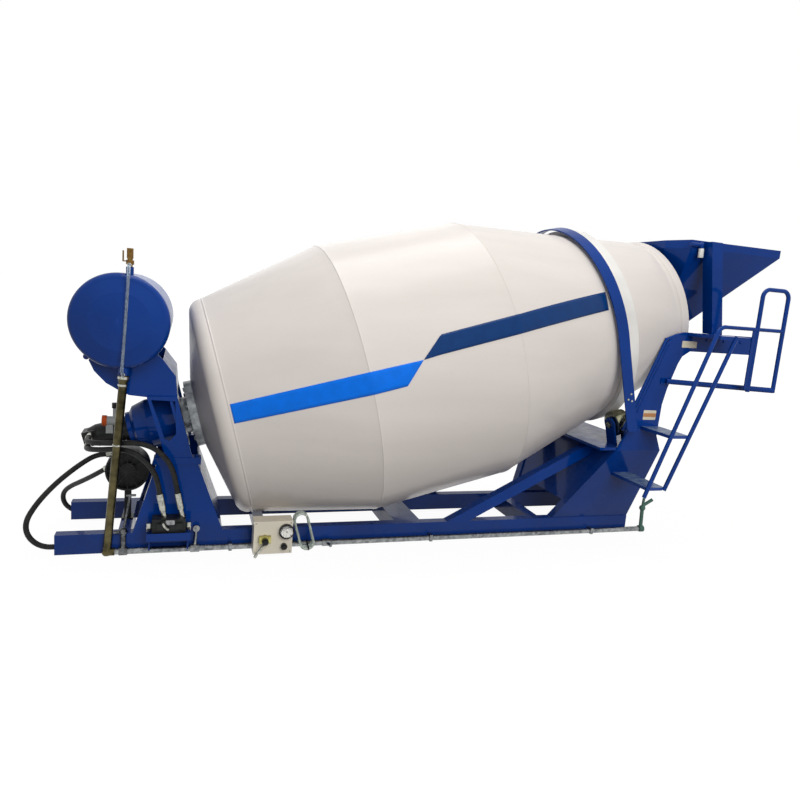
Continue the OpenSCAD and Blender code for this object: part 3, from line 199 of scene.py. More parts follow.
def carried(path, radius, sides=16):
    """A round section carried along a path without twist; radius is one number or one per point."""
    path = np.asarray(path, float)
    way = np.gradient(path, axis=0)
    way /= np.linalg.norm(way, axis=1, keepdims=True)
    sides_of = [across(way[0])[1]]
    for t in way[1:]:
        s = sides_of[-1] - t * (sides_of[-1] @ t)
        sides_of.append(s / np.linalg.norm(s))
    side = np.array(sides_of)
    up = np.cross(way, side)
    angle = np.arange(sides) * 2 * np.pi / sides
    round_it = np.cos(angle)[None, :, None] * side[:, None] + np.sin(angle)[None, :, None] * up[:, None]
    return path[:, None] + np.broadcast_to(radius, len(path))[:, None, None] * round_it


def spline(points, step):
    """A smooth curve through the points, about step apart (Catmull-Rom: each span is a cubic whose end slopes
    come from its neighbours)."""
    p = np.asarray(points, float)
    p = np.vstack([2 * p[0] - p[1], p, 2 * p[-1] - p[-2]])
    a, b, c, d = p[:-3], p[1:-2], p[2:-1], p[3:]
    each = max(3, int(np.ceil(np.linalg.norm(c - b, axis=1).max() / step)))
    t = (np.arange(each) / each)[None, :, None]
    a, b, c, d = (q[:, None] for q in (a, b, c, d))
    square, cube = 2 * a - 5 * b + 4 * c - d, 3 * b - a - 3 * c + d
    curve = 0.5 * (2 * b + (c - a) * t + square * t ** 2 + cube * t ** 3)
    return np.vstack([curve.reshape(-1, 3), p[-2]])


def from_rail(points):
    """Points in millimetres from the rails' front ends, as metres in the part's frame."""
    return (np.asarray(points, float) + RAIL_FRONT) * MM


def aimed(start, end):
    """A start point in the part's frame and the unit vector to an end point, both given as for from_rail."""
    start, end = from_rail([start, end])
    return start, (end - start) / np.linalg.norm(end - start)


def on_drum(station, radius, angle):
    """Points on the drum: station along its axis, angle from the near side upwards."""
    outward = np.cos(angle)[..., None] * NEAR + np.sin(angle)[..., None] * DRUM_UP
    return DRUM_POINT + np.asarray(station)[..., None] * DRUM_AXIS + np.asarray(radius)[..., None] * outward


def bolt_heads(skin, centres, normal, radius, height):
    """Hexagon heads with a turned chamfer, each a six-sided lathe standing on its seat."""
    profile = [[-0.001, radius], [height * 0.75, radius], [height, radius * 0.84]]
    for centre in centres:
        skin.grid(lathe(profile, centre, normal, sides=6), caps=(True, True))
    return skin


def sheet_plate(skin, centre, right, up, width, height, thickness, corner=0.15):
    """A thin plate with rounded corners: a superellipse outline, rolled over its edge to a flat face."""
    right, up = np.asarray(right, float), np.asarray(up, float)
    normal = np.cross(right, up)
    angle = np.arange(48) * 2 * np.pi / 48
    power = 2 * corner
    x = np.sign(np.cos(angle)) * np.abs(np.cos(angle)) ** power * width / 2
    y = np.sign(np.sin(angle)) * np.abs(np.sin(angle)) ** power * height / 2
    outline = x[:, None] * right + y[:, None] * up
    rings = [outline, outline + normal * thickness * 0.7, outline * 0.985 + normal * thickness]
    return skin.grid(np.asarray(centre) + np.array(rings), caps=(True, True))


# Finishes: each material named for the real one


def add(tree, kind, inputs=None, **settings):
    """Adds one node: settings are its own fields, inputs are values or (node, output) links by socket."""
    node = tree.nodes.new(kind)
    for key, value in settings.items():
        setattr(node, key, value)
    for key, value in (inputs or {}).items():
        socket = node.inputs[key]
        if isinstance(value, tuple) and isinstance(value[0], bpy.types.Node):
            tree.links.new(value[0].outputs[value[1]], socket)
        else:
            socket.default_value = (*value, 1.0) if socket.type == "RGBA" else value
    return node


def new_finish(name):
    """An empty material: its tree, shader and Object coordinates."""
    made = bpy.data.materials.new(name)
    made.use_nodes = True
    tree = made.node_tree
    tree.nodes.clear()
    shader = add(tree, "ShaderNodeBsdfPrincipled")
    add(tree, "ShaderNodeOutputMaterial", {"Surface": (shader, "BSDF")})
    return made, tree, shader, (add(tree, "ShaderNodeTexCoord"), "Object")


def shades(tree, where, grain, low, high, between=(0.35, 0.65), detail=4.0):
    """Two shades mixed by noise whose blotches are grain metres wide."""
    noise = add(tree, "ShaderNodeTexNoise", {"Vector": where, "Scale": 1 / grain, "Detail": detail})
    ramp = add(tree, "ShaderNodeValToRGB", {"Fac": (noise, "Fac")})
    ramp.color_ramp.elements[0].position, ramp.color_ramp.elements[1].position = between
    ramp.color_ramp.elements[0].color = (*low, 1)
    ramp.color_ramp.elements[1].color = (*high, 1)
    return ramp


def scaled(rgb, by):
    """A colour made lighter or darker."""
    return tuple(min(1.0, c * by) for c in rgb)


def bumped(tree, shader, where, grain, depth):
    """Surface relief of noise: grain metres wide and depth metres deep."""
    noise = add(tree, "ShaderNodeTexNoise", {"Vector": where, "Scale": 1 / grain, "Detail": 3.0})
    bump = add(tree, "ShaderNodeBump", {"Height": (noise, "Fac"), "Strength": 1.0, "Distance": depth})
    tree.links.new(bump.outputs["Normal"], shader.inputs["Normal"])


# Road dust on faces that look up and grime near the ground, with the height where the grime ends
DUST, DUST_SHARE, GRIME, GRIME_TOP = "#7C8087", 0.05, "#3B3A3C", 0.35


def enamel(name, rgb, gloss=0.30, low_grime=0.0):
    """Sprayed gloss enamel on steel: a clear skin over the colour, orange peel (drawn at 14 mm so that it
    shows), a film of dust on faces that look up, faint tone changes from the spray passes and, where asked for,
    grime near the ground."""
    made, tree, shader, where = new_finish(name)
    tone = shades(tree, where, 0.55, scaled(rgb, 0.86), scaled(rgb, 1.10))
    facing = add(tree, "ShaderNodeSeparateXYZ", {"Vector": (add(tree, "ShaderNodeNewGeometry"), "Normal")})
    blotch = add(tree, "ShaderNodeTexNoise", {"Vector": where, "Scale": 1 / 0.12, "Detail": 5.0})
    lying = add(tree, "ShaderNodeMath", {0: (facing, "Z"), 1: (blotch, "Fac")},
                operation="MULTIPLY", use_clamp=True)
    haze = add(tree, "ShaderNodeMath", {0: (lying, 0), 1: DUST_SHARE * 2}, operation="MULTIPLY", use_clamp=True)
    skin = add(tree, "ShaderNodeMix", {"Factor": (haze, 0), 6: (tone, "Color"), 7: linear(DUST)},
               data_type="RGBA")
    if low_grime:
        height = add(tree, "ShaderNodeSeparateXYZ", {"Vector": where})
        near_ground = add(tree, "ShaderNodeMapRange",
                          {"Value": (height, "Z"), 1: GRIME_TOP, 2: 0.0, 3: 0.0, 4: low_grime})
        mud = add(tree, "ShaderNodeMath", {0: (near_ground, 0), 1: (blotch, "Fac")}, operation="MULTIPLY")
        skin = add(tree, "ShaderNodeMix", {"Factor": (mud, 0), 6: (skin, 2), 7: linear(GRIME)},
                   data_type="RGBA")
    tree.links.new(skin.outputs[2], shader.inputs["Base Color"])
    rough = add(tree, "ShaderNodeMapRange",
                {"Value": (blotch, "Fac"), 1: 0.3, 2: 0.7, 3: gloss * 0.8, 4: gloss * 1.35})
    tree.links.new(rough.outputs[0], shader.inputs["Roughness"])
    shader.inputs["Specular IOR Level"].default_value = 0.05
    shader.inputs["Coat Weight"].default_value = 0.25
    shader.inputs["Coat Roughness"].default_value = 0.05
    bumped(tree, shader, where, 0.014, 0.00025)
    return made


def plated(name, low, high, grain, rough=(0.25, 0.45)):
    """Plated or galvanised steel: cloudy two-tone metal with a soft uneven shine."""
    made, tree, shader, where = new_finish(name)
    tone = shades(tree, where, grain, linear(low), linear(high), between=(0.3, 0.7))
    tree.links.new(tone.outputs["Color"], shader.inputs["Base Color"])
    blotch = add(tree, "ShaderNodeTexNoise", {"Vector": where, "Scale": 1 / (grain * 0.4), "Detail": 4.0})
    gleam = add(tree, "ShaderNodeMapRange",
                {"Value": (blotch, "Fac"), 1: 0.3, 2: 0.7, 3: rough[0], 4: rough[1]})
    tree.links.new(gleam.outputs[0], shader.inputs["Roughness"])
    shader.inputs["Metallic"].default_value = 1.0
    bumped(tree, shader, where, grain * 0.3, 0.0002)
    return made


def rubbery(name, low, high, rough):
    """Rubber, plastic or dull black paint: near-black body with greyer scuffs and a fine tooth."""
    made, tree, shader, where = new_finish(name)
    tone = shades(tree, where, 0.05, linear(low), linear(high), between=(0.4, 0.75))
    tree.links.new(tone.outputs["Color"], shader.inputs["Base Color"])
    shader.inputs["Roughness"].default_value = rough
    shader.inputs["Specular IOR Level"].default_value = 0.25
    bumped(tree, shader, where, 0.004, 0.0003)
    return made


def clear_plastic(name, low, high, clear):
    """Clear PVC hose or a gauge's window: more or less milky, glossy, bending light like plastic."""
    made, tree, shader, where = new_finish(name)
    tone = shades(tree, where, 0.03, linear(low), linear(high))
    tree.links.new(tone.outputs["Color"], shader.inputs["Base Color"])
    shader.inputs["Roughness"].default_value = 0.12
    shader.inputs["IOR"].default_value = 1.45
    shader.inputs["Transmission Weight"].default_value = clear
    return made


def worn_tread(name, rgb):
    """Blue enamel walked down to pale scuffed steel on top of a step."""
    made, tree, shader, where = new_finish(name)
    facing = add(tree, "ShaderNodeSeparateXYZ", {"Vector": (add(tree, "ShaderNodeNewGeometry"), "Normal")})
    scuff = add(tree, "ShaderNodeTexNoise", {"Vector": where, "Scale": 1 / 0.05, "Detail": 6.0})
    top = add(tree, "ShaderNodeMath", {0: (facing, "Z"), 1: (scuff, "Fac")},
              operation="MULTIPLY", use_clamp=True)
    bare = add(tree, "ShaderNodeMapRange", {"Value": (top, 0), 1: 0.25, 2: 0.6, 3: 0.0, 4: 0.85})
    skin = add(tree, "ShaderNodeMix", {"Factor": (bare, 0), 6: rgb, 7: linear("#7F93A6")}, data_type="RGBA")
    tree.links.new(skin.outputs[2], shader.inputs["Base Color"])
    shader.inputs["Roughness"].default_value = 0.42
    bumped(tree, shader, where, 0.02, 0.0008)
    return made


def scoured(name):
    """Mixing plate scoured by gravel, with grey cement left in streaks."""
    made, tree, shader, where = new_finish(name)
    tone = shades(tree, where, 0.10, linear("#5C5A57"), linear("#A09C95"), between=(0.35, 0.6), detail=7.0)
    tree.links.new(tone.outputs["Color"], shader.inputs["Base Color"])
    shader.inputs["Metallic"].default_value = 0.35
    shader.inputs["Roughness"].default_value = 0.62
    bumped(tree, shader, where, 0.03, 0.002)
    return made


def film(name, rgb, rough=0.3):
    """Plain printed film: one even colour with a faint mottle and a satin face."""
    made, tree, shader, where = new_finish(name)
    tone = shades(tree, where, 0.08, scaled(rgb, 0.93), scaled(rgb, 1.05))
    tree.links.new(tone.outputs["Color"], shader.inputs["Base Color"])
    shader.inputs["Roughness"].default_value = rough
    shader.inputs["Specular IOR Level"].default_value = 0.2
    return made


def drum_enamel(name, rgb):
    """Warm white enamel over wide rolled sheets: long faint streaks along the axis, a few grey specks of cement
    and a soft clear coat."""
    made, tree, shader, where = new_finish(name)
    turn = add(tree, "ShaderNodeMapping", {"Vector": where, "Rotation": (0.0, math.asin(DRUM_AXIS[2]), 0.0),
                                           "Scale": (0.35, 2.2, 2.2)})
    streak = shades(tree, (turn, "Vector"), 0.6, scaled(rgb, 0.955), scaled(rgb, 1.03), between=(0.3, 0.7),
                    detail=5.0)
    speck = add(tree, "ShaderNodeTexNoise", {"Vector": where, "Scale": 1 / 0.05, "Detail": 6.0})
    soil = add(tree, "ShaderNodeMapRange", {"Value": (speck, "Fac"), 1: 0.62, 2: 0.80, 3: 0.0, 4: 0.05})
    skin = add(tree, "ShaderNodeMix", {"Factor": (soil, 0), 6: (streak, "Color"), 7: linear("#9A948A")},
               data_type="RGBA")
    tree.links.new(skin.outputs[2], shader.inputs["Base Color"])
    rough = add(tree, "ShaderNodeMapRange", {"Value": (speck, "Fac"), 1: 0.3, 2: 0.7, 3: 0.34, 4: 0.44})
    tree.links.new(rough.outputs[0], shader.inputs["Roughness"])
    shader.inputs["Specular IOR Level"].default_value = 0.15
    shader.inputs["Coat Weight"].default_value = 0.3
    shader.inputs["Coat Roughness"].default_value = 0.2
    bumped(tree, shader, where, 0.05, 0.0003)
    return made


FINISH = {}


def make_finishes(paint):
    """Every finish by name, made once."""
    FINISH.update(
        blue=enamel("blue_gloss_enamel", tuple(paint.frame_blue), low_grime=0.5),
        drum=drum_enamel("warm_white_enamel", tuple(paint.drum_white)),
        light=film("light_blue_film", tuple(paint.stripe_light)),
        dark=film("deep_blue_film", tuple(paint.stripe_dark)),
        cream=enamel("cream_enamel", tuple(paint.box_cream), gloss=0.4),
        green=enamel("green_enamel", tuple(paint.handle_green), gloss=0.35),
        black=rubbery("black_machine_paint", "#101112", "#2A2B2C", 0.42),
        rubber=rubbery("hydraulic_hose_rubber", "#111113", "#2B2A27", 0.5),
        knob=rubbery("black_phenolic", "#0C0C0D", "#1C1C1E", 0.22),
        zinc=plated("yellow_zinc_plate", "#2C291B", "#625B40", 0.09),
        roller=plated("zinc_passivated_roller", "#7F7E63", "#B4B297", 0.05, rough=(0.14, 0.28)),
        steel=plated("dull_steel", "#3C3D3E", "#77787A", 0.03, rough=(0.3, 0.5)),
        grey=enamel("grey_machine_enamel", linear("#A9ABAA"), gloss=0.4),
        flange=plated("machined_flange_steel", "#6F7376", "#A2A6A8", 0.05, rough=(0.28, 0.45)),
        galvanised=plated("galvanised_steel", "#63666A", "#A3A5A5", 0.03, rough=(0.25, 0.45)),
        bright=plated("bright_zinc_ferrule", "#84867F", "#C2C2B8", 0.02, rough=(0.16, 0.3)),
        brass=plated("dull_brass", "#5A4424", "#8F6E3E", 0.03, rough=(0.25, 0.5)),
        chromate=plated("yellow_chromate", "#8E8846", "#CBC47C", 0.03, rough=(0.25, 0.45)),
        ring=enamel("white_ring_enamel", linear("#EFECE6"), gloss=0.35),
        sight=clear_plastic("clear_sight_pvc", "#8FA2B6", "#BCC9D6", 0.7),
        vinyl=clear_plastic("clear_pvc", "#B9C6BE", "#E6EDE4", 0.55),
        tread=worn_tread("walked_blue_enamel", tuple(paint.frame_blue)),
        blades=scoured("scoured_plate"),
        sticker=film("reflective_film_cream", linear("#E6DCC3"), rough=0.4),
        band=film("reflective_film_orange", linear("#C58A5A"), rough=0.4),
        dial=film("dial_white", linear("#EDEBE4"), rough=0.5),
        ink=film("dial_ink", linear("#16171A"), rough=0.5),
        orange=film("orange_polyamide", linear("#C4511E"), rough=0.35),
        glass=clear_plastic("gauge_window_acrylic", "#FBFBFB", "#FFFFFF", 1.0),
    )


NODE_FINISH = {
    "drum_track": "ring", "drive_flange": "flange", "mixing_blades": "blades", "roller_near": "roller",
    "roller_far": "roller", "hydraulic_motor": "black", "oil_cooler": "black", "cooler_stand": "black",
    "oil_filter": "grey", "junction_block": "black", "junction_tray": "blue", "control_knob": "knob",
    "pressure_gauge": "knob", "water_down_pipe": "zinc", "pipe_clips": "galvanised", "line_tees": "galvanised",
    "rear_wash_valve": "green", "water_main": "galvanised", "hose_fittings": "bright", "tank_valve": "brass",
    "shut_off_valve": "steel", "control_lever": "chromate", "sight_tube": "sight", "clear_hose_coil": "vinyl",
    "control_box": "cream", "ladder_treads": "tread",
}


class MIXER_OT_paint(bpy.types.Operator):
    """Gives every solid of the frame its finish"""
    bl_idname = "mixer.paint"
    bl_label = "Paint the solids"

    def execute(self, context):
        make_finishes(context.scene.mixer_paint)
        for name, node in frame["nodes"].items():
            node.data.materials.clear()
            node.data.materials.append(FINISH[NODE_FINISH.get(name, "blue")])
        return {"FINISHED"}


# Drum and its stripes

# Seams along the drum's axis with the drum's radius there, in millimetres
SEAM_S = np.array([-984.0, 25.0, 1251.0, 2241.0, 3182.0])
SEAM_R = np.array([910.0, 1170.0, 1170.0, 909.0, 676.0])
# Welds: the head's just behind its knuckle, the others on their seams
WELD_S = np.array([-974.0, 25.0, 1251.0, 2241.0])
# Head and its knuckle, the wall and the rolled lip, in millimetres (the knuckle's first angle in degrees)
HEAD_S, HEAD_FLAT_R, KNUCKLE_R, KNUCKLE_FROM, WALL, HEAD_HOLE_R = -1208.0, 300.0, 110.0, 172.0, 8.0, 4.0
LIP_W, LIP_OUT, LIP_EDGE = 75.0, 18.0, 6.0
# Waves of the sheets: two counts round the drum, the second's share and phase, and its run along the axis
WAVES, WAVE_SHARE, WAVE_PHASE, WAVE_ALONG = (5, 11), 0.6, 1.0, 9
DRUM_SIDES = 192
# Stripes by finish: upper and lower edge as [station in millimetres, degrees from the near side upwards]
STRIPES = {
    "light": ([[-964, 11.4], [439, 11.4]], [[-964, 2.5], [278, 3.5]]),
    "dark": ([[439, 11.4], [616, 19.0], [1284, 20.3], [2236, 25.4]],
             [[439, 11.35], [569, 11.8], [1237, 12.8], [2212, 15.4]]),
}


def drum_radius(station):
    """Outer radius in millimetres at a station: straight between seams."""
    return np.interp(station, SEAM_S, SEAM_R)


def corner_arc(station, radius, bend, angles, count):
    """An arc of the profile about a middle point, as [station, radius] rows: bend is its own radius."""
    turn = np.radians(np.linspace(*angles, count))
    return np.c_[station + bend * np.cos(turn), radius + bend * np.sin(turn)]


def drum_profile(weld_height, weld_width):
    """Section of the drum as [station, radius] rows in millimetres: dished head, knuckle, four courses of sheet
    with a low round weld over each seam, a rolled lip, and back along the inside of the wall."""
    knuckle = corner_arc(SEAM_S[0], SEAM_R[0] - KNUCKLE_R, KNUCKLE_R, (KNUCKLE_FROM, 92), 13)
    stations = np.unique(np.concatenate([np.linspace(a, b, 14) for a, b in zip(SEAM_S[:-1], SEAM_S[1:])]
                                        + [s + np.linspace(-0.6, 0.6, 11) * weld_width for s in WELD_S]))
    over = np.min(np.abs(stations[:, None] - WELD_S[None]), axis=1)
    radius = drum_radius(stations) + weld_height * np.clip(1 - (over / (weld_width / 2)) ** 2, 0, 1)
    courses = np.c_[stations, radius][stations < SEAM_S[4] - LIP_W]
    lip_r = SEAM_R[4] + LIP_OUT - LIP_EDGE
    lip = np.vstack([corner_arc(SEAM_S[4] - LIP_W + LIP_EDGE, lip_r, LIP_EDGE, (180, 90), 5),
                     corner_arc(SEAM_S[4] - LIP_EDGE, lip_r, LIP_EDGE, (90, 0), 5),
                     [[SEAM_S[4], SEAM_R[4] - WALL]]])
    inside_s = np.array([SEAM_S[4] - 30, SEAM_S[3], SEAM_S[2], SEAM_S[1], SEAM_S[0] + 4])
    inside = np.c_[inside_s, drum_radius(inside_s) - WALL]
    back = [[SEAM_S[0] - KNUCKLE_R + WALL, SEAM_R[0] - KNUCKLE_R], [HEAD_S + WALL, HEAD_FLAT_R],
            [HEAD_S + WALL, HEAD_HOLE_R]]
    front = [[HEAD_S, HEAD_HOLE_R], [HEAD_S, HEAD_FLAT_R - 8], [HEAD_S + 1, HEAD_FLAT_R]]
    return np.vstack([front, knuckle, courses, lip, inside, back])


class MIXER_OT_drum(bpy.types.Operator):
    """Rolls the drum's skin with its seams and lip, and lays the two stripes on both sides"""
    bl_idname = "mixer.drum"
    bl_label = "Skin the drum"

    def execute(self, context):
        size = context.scene.mixer_drum
        profile = drum_profile(size.weld_height / MM, size.weld_width / MM) * MM
        station, angle = profile[:, :1], np.arange(DRUM_SIDES)[None] * 2 * np.pi / DRUM_SIDES
        # long waves of a rolled sheet, inward from the true radius, fading out at head and mouth
        fade = np.sin(np.pi * np.clip((station - station[0]) / (SEAM_S[4] * MM - station[0]), 0, 1))
        second = WAVE_SHARE * np.sin(WAVES[1] * angle + WAVE_PHASE) * np.cos(WAVE_ALONG * station)
        wave = (np.sin(WAVES[0] * angle) + second) / (1 + WAVE_SHARE)
        radius = profile[:, 1:] - size.sheet_wave * 0.5 * fade * (1 + wave)
        points = on_drum(np.broadcast_to(station, radius.shape), radius, np.broadcast_to(angle, radius.shape))
        skin = Skin().grid(points, caps=(True, True), flip=True)
        skin = skin.piece("drum_skin", FINISH["drum"], "drum", "drum_paint")
        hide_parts("drum_shell")
        for side, turn in (("near", 0.0), ("far", math.pi)):
            for finish in STRIPES:
                self.stripe(finish + "_stripe_" + side, turn, finish, size)
        return {"FINISHED"}

    @staticmethod
    def stripe(name, turn, finish, size):
        """A film between two edges: rows run along the drum, columns from edge to edge and back."""
        along, over = np.linspace(0, 1, 90)[:, None], np.linspace(0, 1, 7)[None]
        edges = []
        for edge in STRIPES[finish]:
            stations, angles = np.array(edge, float).T
            at = stations[0] + (stations[-1] - stations[0]) * along
            edges.append((at, np.interp(at, stations, angles)))
        (top, upper), (low, lower) = edges
        station = low + (top - low) * over
        angle = np.radians(lower + (upper - lower) * over) + turn
        outside = drum_radius(station) * MM + size.stripe_lift + size.weld_height * 0.8
        face = on_drum(station * MM, outside, angle)
        back = on_drum(station * MM, outside - size.stripe_lift, angle)
        skin = Skin().grid(np.concatenate([face, back[:, ::-1]], axis=1), caps=(True, True), flip=True)
        skin.piece(name, FINISH[finish], "drum", "drum_paint")


# Hydraulic hoses, in millimetres from the rails' front ends

HOSE_ROUTES = {
    "motor_hose_upper": [
        [866, -560, 510], [850, -560, 590], [832, -559, 668], [798, -556, 744], [748, -550, 808],
        [680, -537, 856], [596, -511, 880], [506, -480, 880], [422, -455, 872], [345, -434, 866],
        [270, -395, 860], [218, -330, 853], [200, -260, 845], [200, -185, 845]],
    "motor_hose_lower": [
        [738, -560, 505], [722, -560, 585], [698, -558, 660], [655, -552, 728], [595, -536, 784],
        [525, -508, 818], [448, -466, 826], [370, -438, 820], [298, -400, 808], [235, -342, 796],
        [203, -275, 786], [194, -225, 781], [194, -185, 781]],
    "pump_hose_near": [
        [320, -140, 706], [270, -146, 700], [215, -158, 680], [150, -184, 640], [85, -214, 592],
        [13, -250, 532], [-52, -286, 468], [-112, -322, 398], [-158, -352, 330], [-186, -374, 272],
        [-195, -386, 215], [-185, -388, 159], [-156, -388, 109], [-112, -388, 72], [-59, -388, 53],
        [0, -388, 50], [60, -388, 50], [110, -388, 50]],
    "pump_hose_far": [
        [300, 20, 540], [250, 48, 503], [195, 95, 460], [135, 160, 412], [75, 230, 365],
        [15, 300, 318], [-35, 352, 270], [-63, 382, 222], [-66, 388, 172], [-48, 388, 125],
        [-12, 388, 88], [36, 388, 62], [90, 388, 50], [150, 388, 50]],
}


class MIXER_OT_hoses(bpy.types.Operator):
    """Lays the four hydraulic hoses along their routes"""
    bl_idname = "mixer.hoses"
    bl_label = "Lay the hoses"

    def execute(self, context):
        radius = context.scene.mixer_fittings.hose_radius
        for node, route in HOSE_ROUTES.items():
            path = spline(from_rail(route), 0.012)
            hose = solid("dressed_" + node, carried(path, radius, sides=20), "rubber", "hose_rubber")
            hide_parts(node)
        return {"FINISHED"}


# Clear hoses, in millimetres from the rails' front ends

# Hank of spare hose: middle of its first turn, radius of its folds, straight run between them, step from turn
# to turn, number of turns and lean
HANK_CENTRE, HANK_TURN_R, HANK_RUN, HANK_PITCH, HANK_TURNS = (1852.0, -504.3, 165.0), 54.0, 200.0, 19.0, 4
HANK_TILT = math.radians(16)
# Its strap: station, half its width, thickness, and the circles it runs round as [across, up, radius], which
# are the water main and the hank's lower fold
TIE_X, TIE_HALF_W, TIE_THICK = 1894.0, 6, 1.4
TIE_CIRCLES = np.array([[-471.0, 26.0, 24.4], [-574.0, 17.0, 9.6]])
SIGHT_ROUTE = [[507, -600, 2183], [507, -625, 2183], [507, -652, 2163], [507, -674, 2111], [501, -674, 1986],
               [491, -674, 1786], [477, -674, 1536], [471, -674, 1451], [474, -638, 1410], [474, -612, 1408],
               [474, -588.3, 1408]]
SIGHT_R = 11.0


def racetrack(turn, radius, run):
    """Points of a loop of two half circles joined by two straight runs, across and up: two thirds of each half
    turn go round its fold, one third along its run."""
    half = (2 * turn) % 1.0
    side = np.where(turn % 1.0 < 0.5, 1.0, -1.0)
    angle = np.pi * np.minimum(1.5 * half, 1.0)
    down = run * np.maximum(3 * half - 2, 0.0)
    return side * radius * np.cos(angle), side * (run / 2 + radius * np.sin(angle) - down)


class MIXER_OT_hank(bpy.types.Operator):
    """Winds the spare clear hose into its hank and straps it to the water main"""
    bl_idname = "mixer.hank"
    bl_label = "Wind the hank"

    def execute(self, context):
        radius = context.scene.mixer_fittings.hank_radius
        turn = np.linspace(0, HANK_TURNS, 96 * HANK_TURNS + 1)
        right, up = racetrack(turn, HANK_TURN_R, HANK_RUN)
        path = from_rail(np.c_[HANK_CENTRE[0] + right * math.cos(HANK_TILT) - up * math.sin(HANK_TILT),
                               HANK_CENTRE[1] - HANK_PITCH * turn,
                               HANK_CENTRE[2] + right * math.sin(HANK_TILT) + up * math.cos(HANK_TILT)])
        hank = solid("spare_hose_hank", carried(path, radius, sides=14), "vinyl", "clear_vinyl")
        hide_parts("clear_hose_coil")
        self.tie()
        return {"FINISHED"}

    @staticmethod
    def tie():
        """A strap round both circles: at each angle it lies on the circle that reaches furthest."""
        angle = np.arange(64) * 2 * np.pi / 64
        out = np.c_[np.cos(angle), np.sin(angle)]
        reach = TIE_CIRCLES[np.argmax(out @ TIE_CIRCLES[:, :2].T + TIE_CIRCLES[:, 2], axis=1)]
        rows = [np.c_[np.full(64, TIE_X + wide), reach[:, :2] + out * (reach[:, 2:] + thick)]
                for wide, thick in ((-TIE_HALF_W, 0), (-TIE_HALF_W, TIE_THICK), (TIE_HALF_W, TIE_THICK),
                                    (TIE_HALF_W, 0))]
        skin = Skin().grid(from_rail(rows), wrap_rows=True)
        skin.piece("hank_tie", FINISH["knob"], "frame", "black_paint", smooth=False)


class MIXER_OT_sight_tube(bpy.types.Operator):
    """Hangs the tank's clear sight tube between its two clips"""
    bl_idname = "mixer.sight_tube"
    bl_label = "Hang the sight tube"

    def execute(self, context):
        path = spline(from_rail(SIGHT_ROUTE), 0.01)
        tube = solid("clear_sight_tube", carried(path, SIGHT_R * MM, sides=16), "sight", "clear_vinyl")
        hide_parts("sight_tube")
        clip = [[0, 0.0125], [0.002, 0.0145], [0.018, 0.0145], [0.020, 0.0125]]
        clips = Skin()
        for end, way in ((path[0], NEAR), (path[-1] + 0.022 * NEAR, -NEAR)):
            clips.grid(lathe(clip, end, way, sides=24), caps=(True, True))
        clips.piece("sight_tube_clips", FINISH["bright"], "frame", "zinc_plate")
        return {"FINISHED"}


# Fasteners, in millimetres from the rails' front ends

# Stations along the rails of the bolts on each arm, each waist flange and each end of the saddle
ARM_BOLTS, WAIST_BOLTS, SADDLE_BOLTS = (5442, 5637, 5838), (705, 745, 1000), (660, 735, 815)
# Stations and heights of the bolts on each foot of the hoop, and of the control box's screws
HOOP_BOLTS = ((4529, 1449), (4545, 1388), (4507, 1400))
BOX_SCREWS = ((1455, 34), (1455, 272), (1730, 34), (1730, 272))


class MIXER_OT_fasteners(bpy.types.Operator):
    """Sets hexagon heads on the arms, hoop feet, pedestal flanges, saddle and control box"""
    bl_idname = "mixer.fasteners"
    bl_label = "Set the fasteners"

    def execute(self, context):
        r = context.scene.mixer_fittings.bolt_radius
        painted, bright = Skin(), Skin()
        for side in (-1, 1):
            out = (0, side, 0)
            bolt_heads(painted, from_rail([[x, side * 760, 1942] for x in ARM_BOLTS]), out, r, 0.011)
            bolt_heads(bright, from_rail([[x, side * 964, z] for x, z in HOOP_BOLTS]), out, r * 0.7, 0.009)
            bolt_heads(painted, from_rail([[x, side * 390, 754] for x in WAIST_BOLTS]), UP, r, 0.011)
            bolt_heads(painted, from_rail([[x, side * 390, 1227] for x in SADDLE_BOLTS]), UP, r, 0.011)
        painted.piece("painted_bolts", FINISH["blue"], "frame", "blue_paint", smooth=False)
        bright.piece("hoop_bolts", FINISH["bright"], "frame", "zinc_plate", smooth=False)
        screws = bolt_heads(Skin(), from_rail([[x, -640, z] for x, z in BOX_SCREWS]), NEAR, r * 0.5, 0.005)
        screws.piece("box_screws", FINISH["bright"], "frame", "zinc_plate", smooth=False)
        return {"FINISHED"}


# Fittings: places in millimetres from the rails' front ends, profiles in metres


class MIXER_OT_couplings(bpy.types.Operator):
    """Puts bright rings round the down pipe: two at its top and a worm clip where the hoses cross it"""
    bl_idname = "mixer.couplings"
    bl_label = "Fit the couplings"

    def execute(self, context):
        top, way = aimed([474, -550, 1377], [365, -471, 26])
        rings = Skin()
        for along, radius, wide in ((-0.018, 0.0425, 0.024), (0.040, 0.036, 0.020), (0.500, 0.0335, 0.014)):
            profile = [[0, radius - 0.004], [0.003, radius], [wide - 0.003, radius], [wide, radius - 0.004]]
            rings.grid(lathe(profile, top + way * along, way, sides=32), caps=(True, True))
        rings.piece("down_pipe_couplings", FINISH["bright"], "frame", "galvanised")
        return {"FINISHED"}


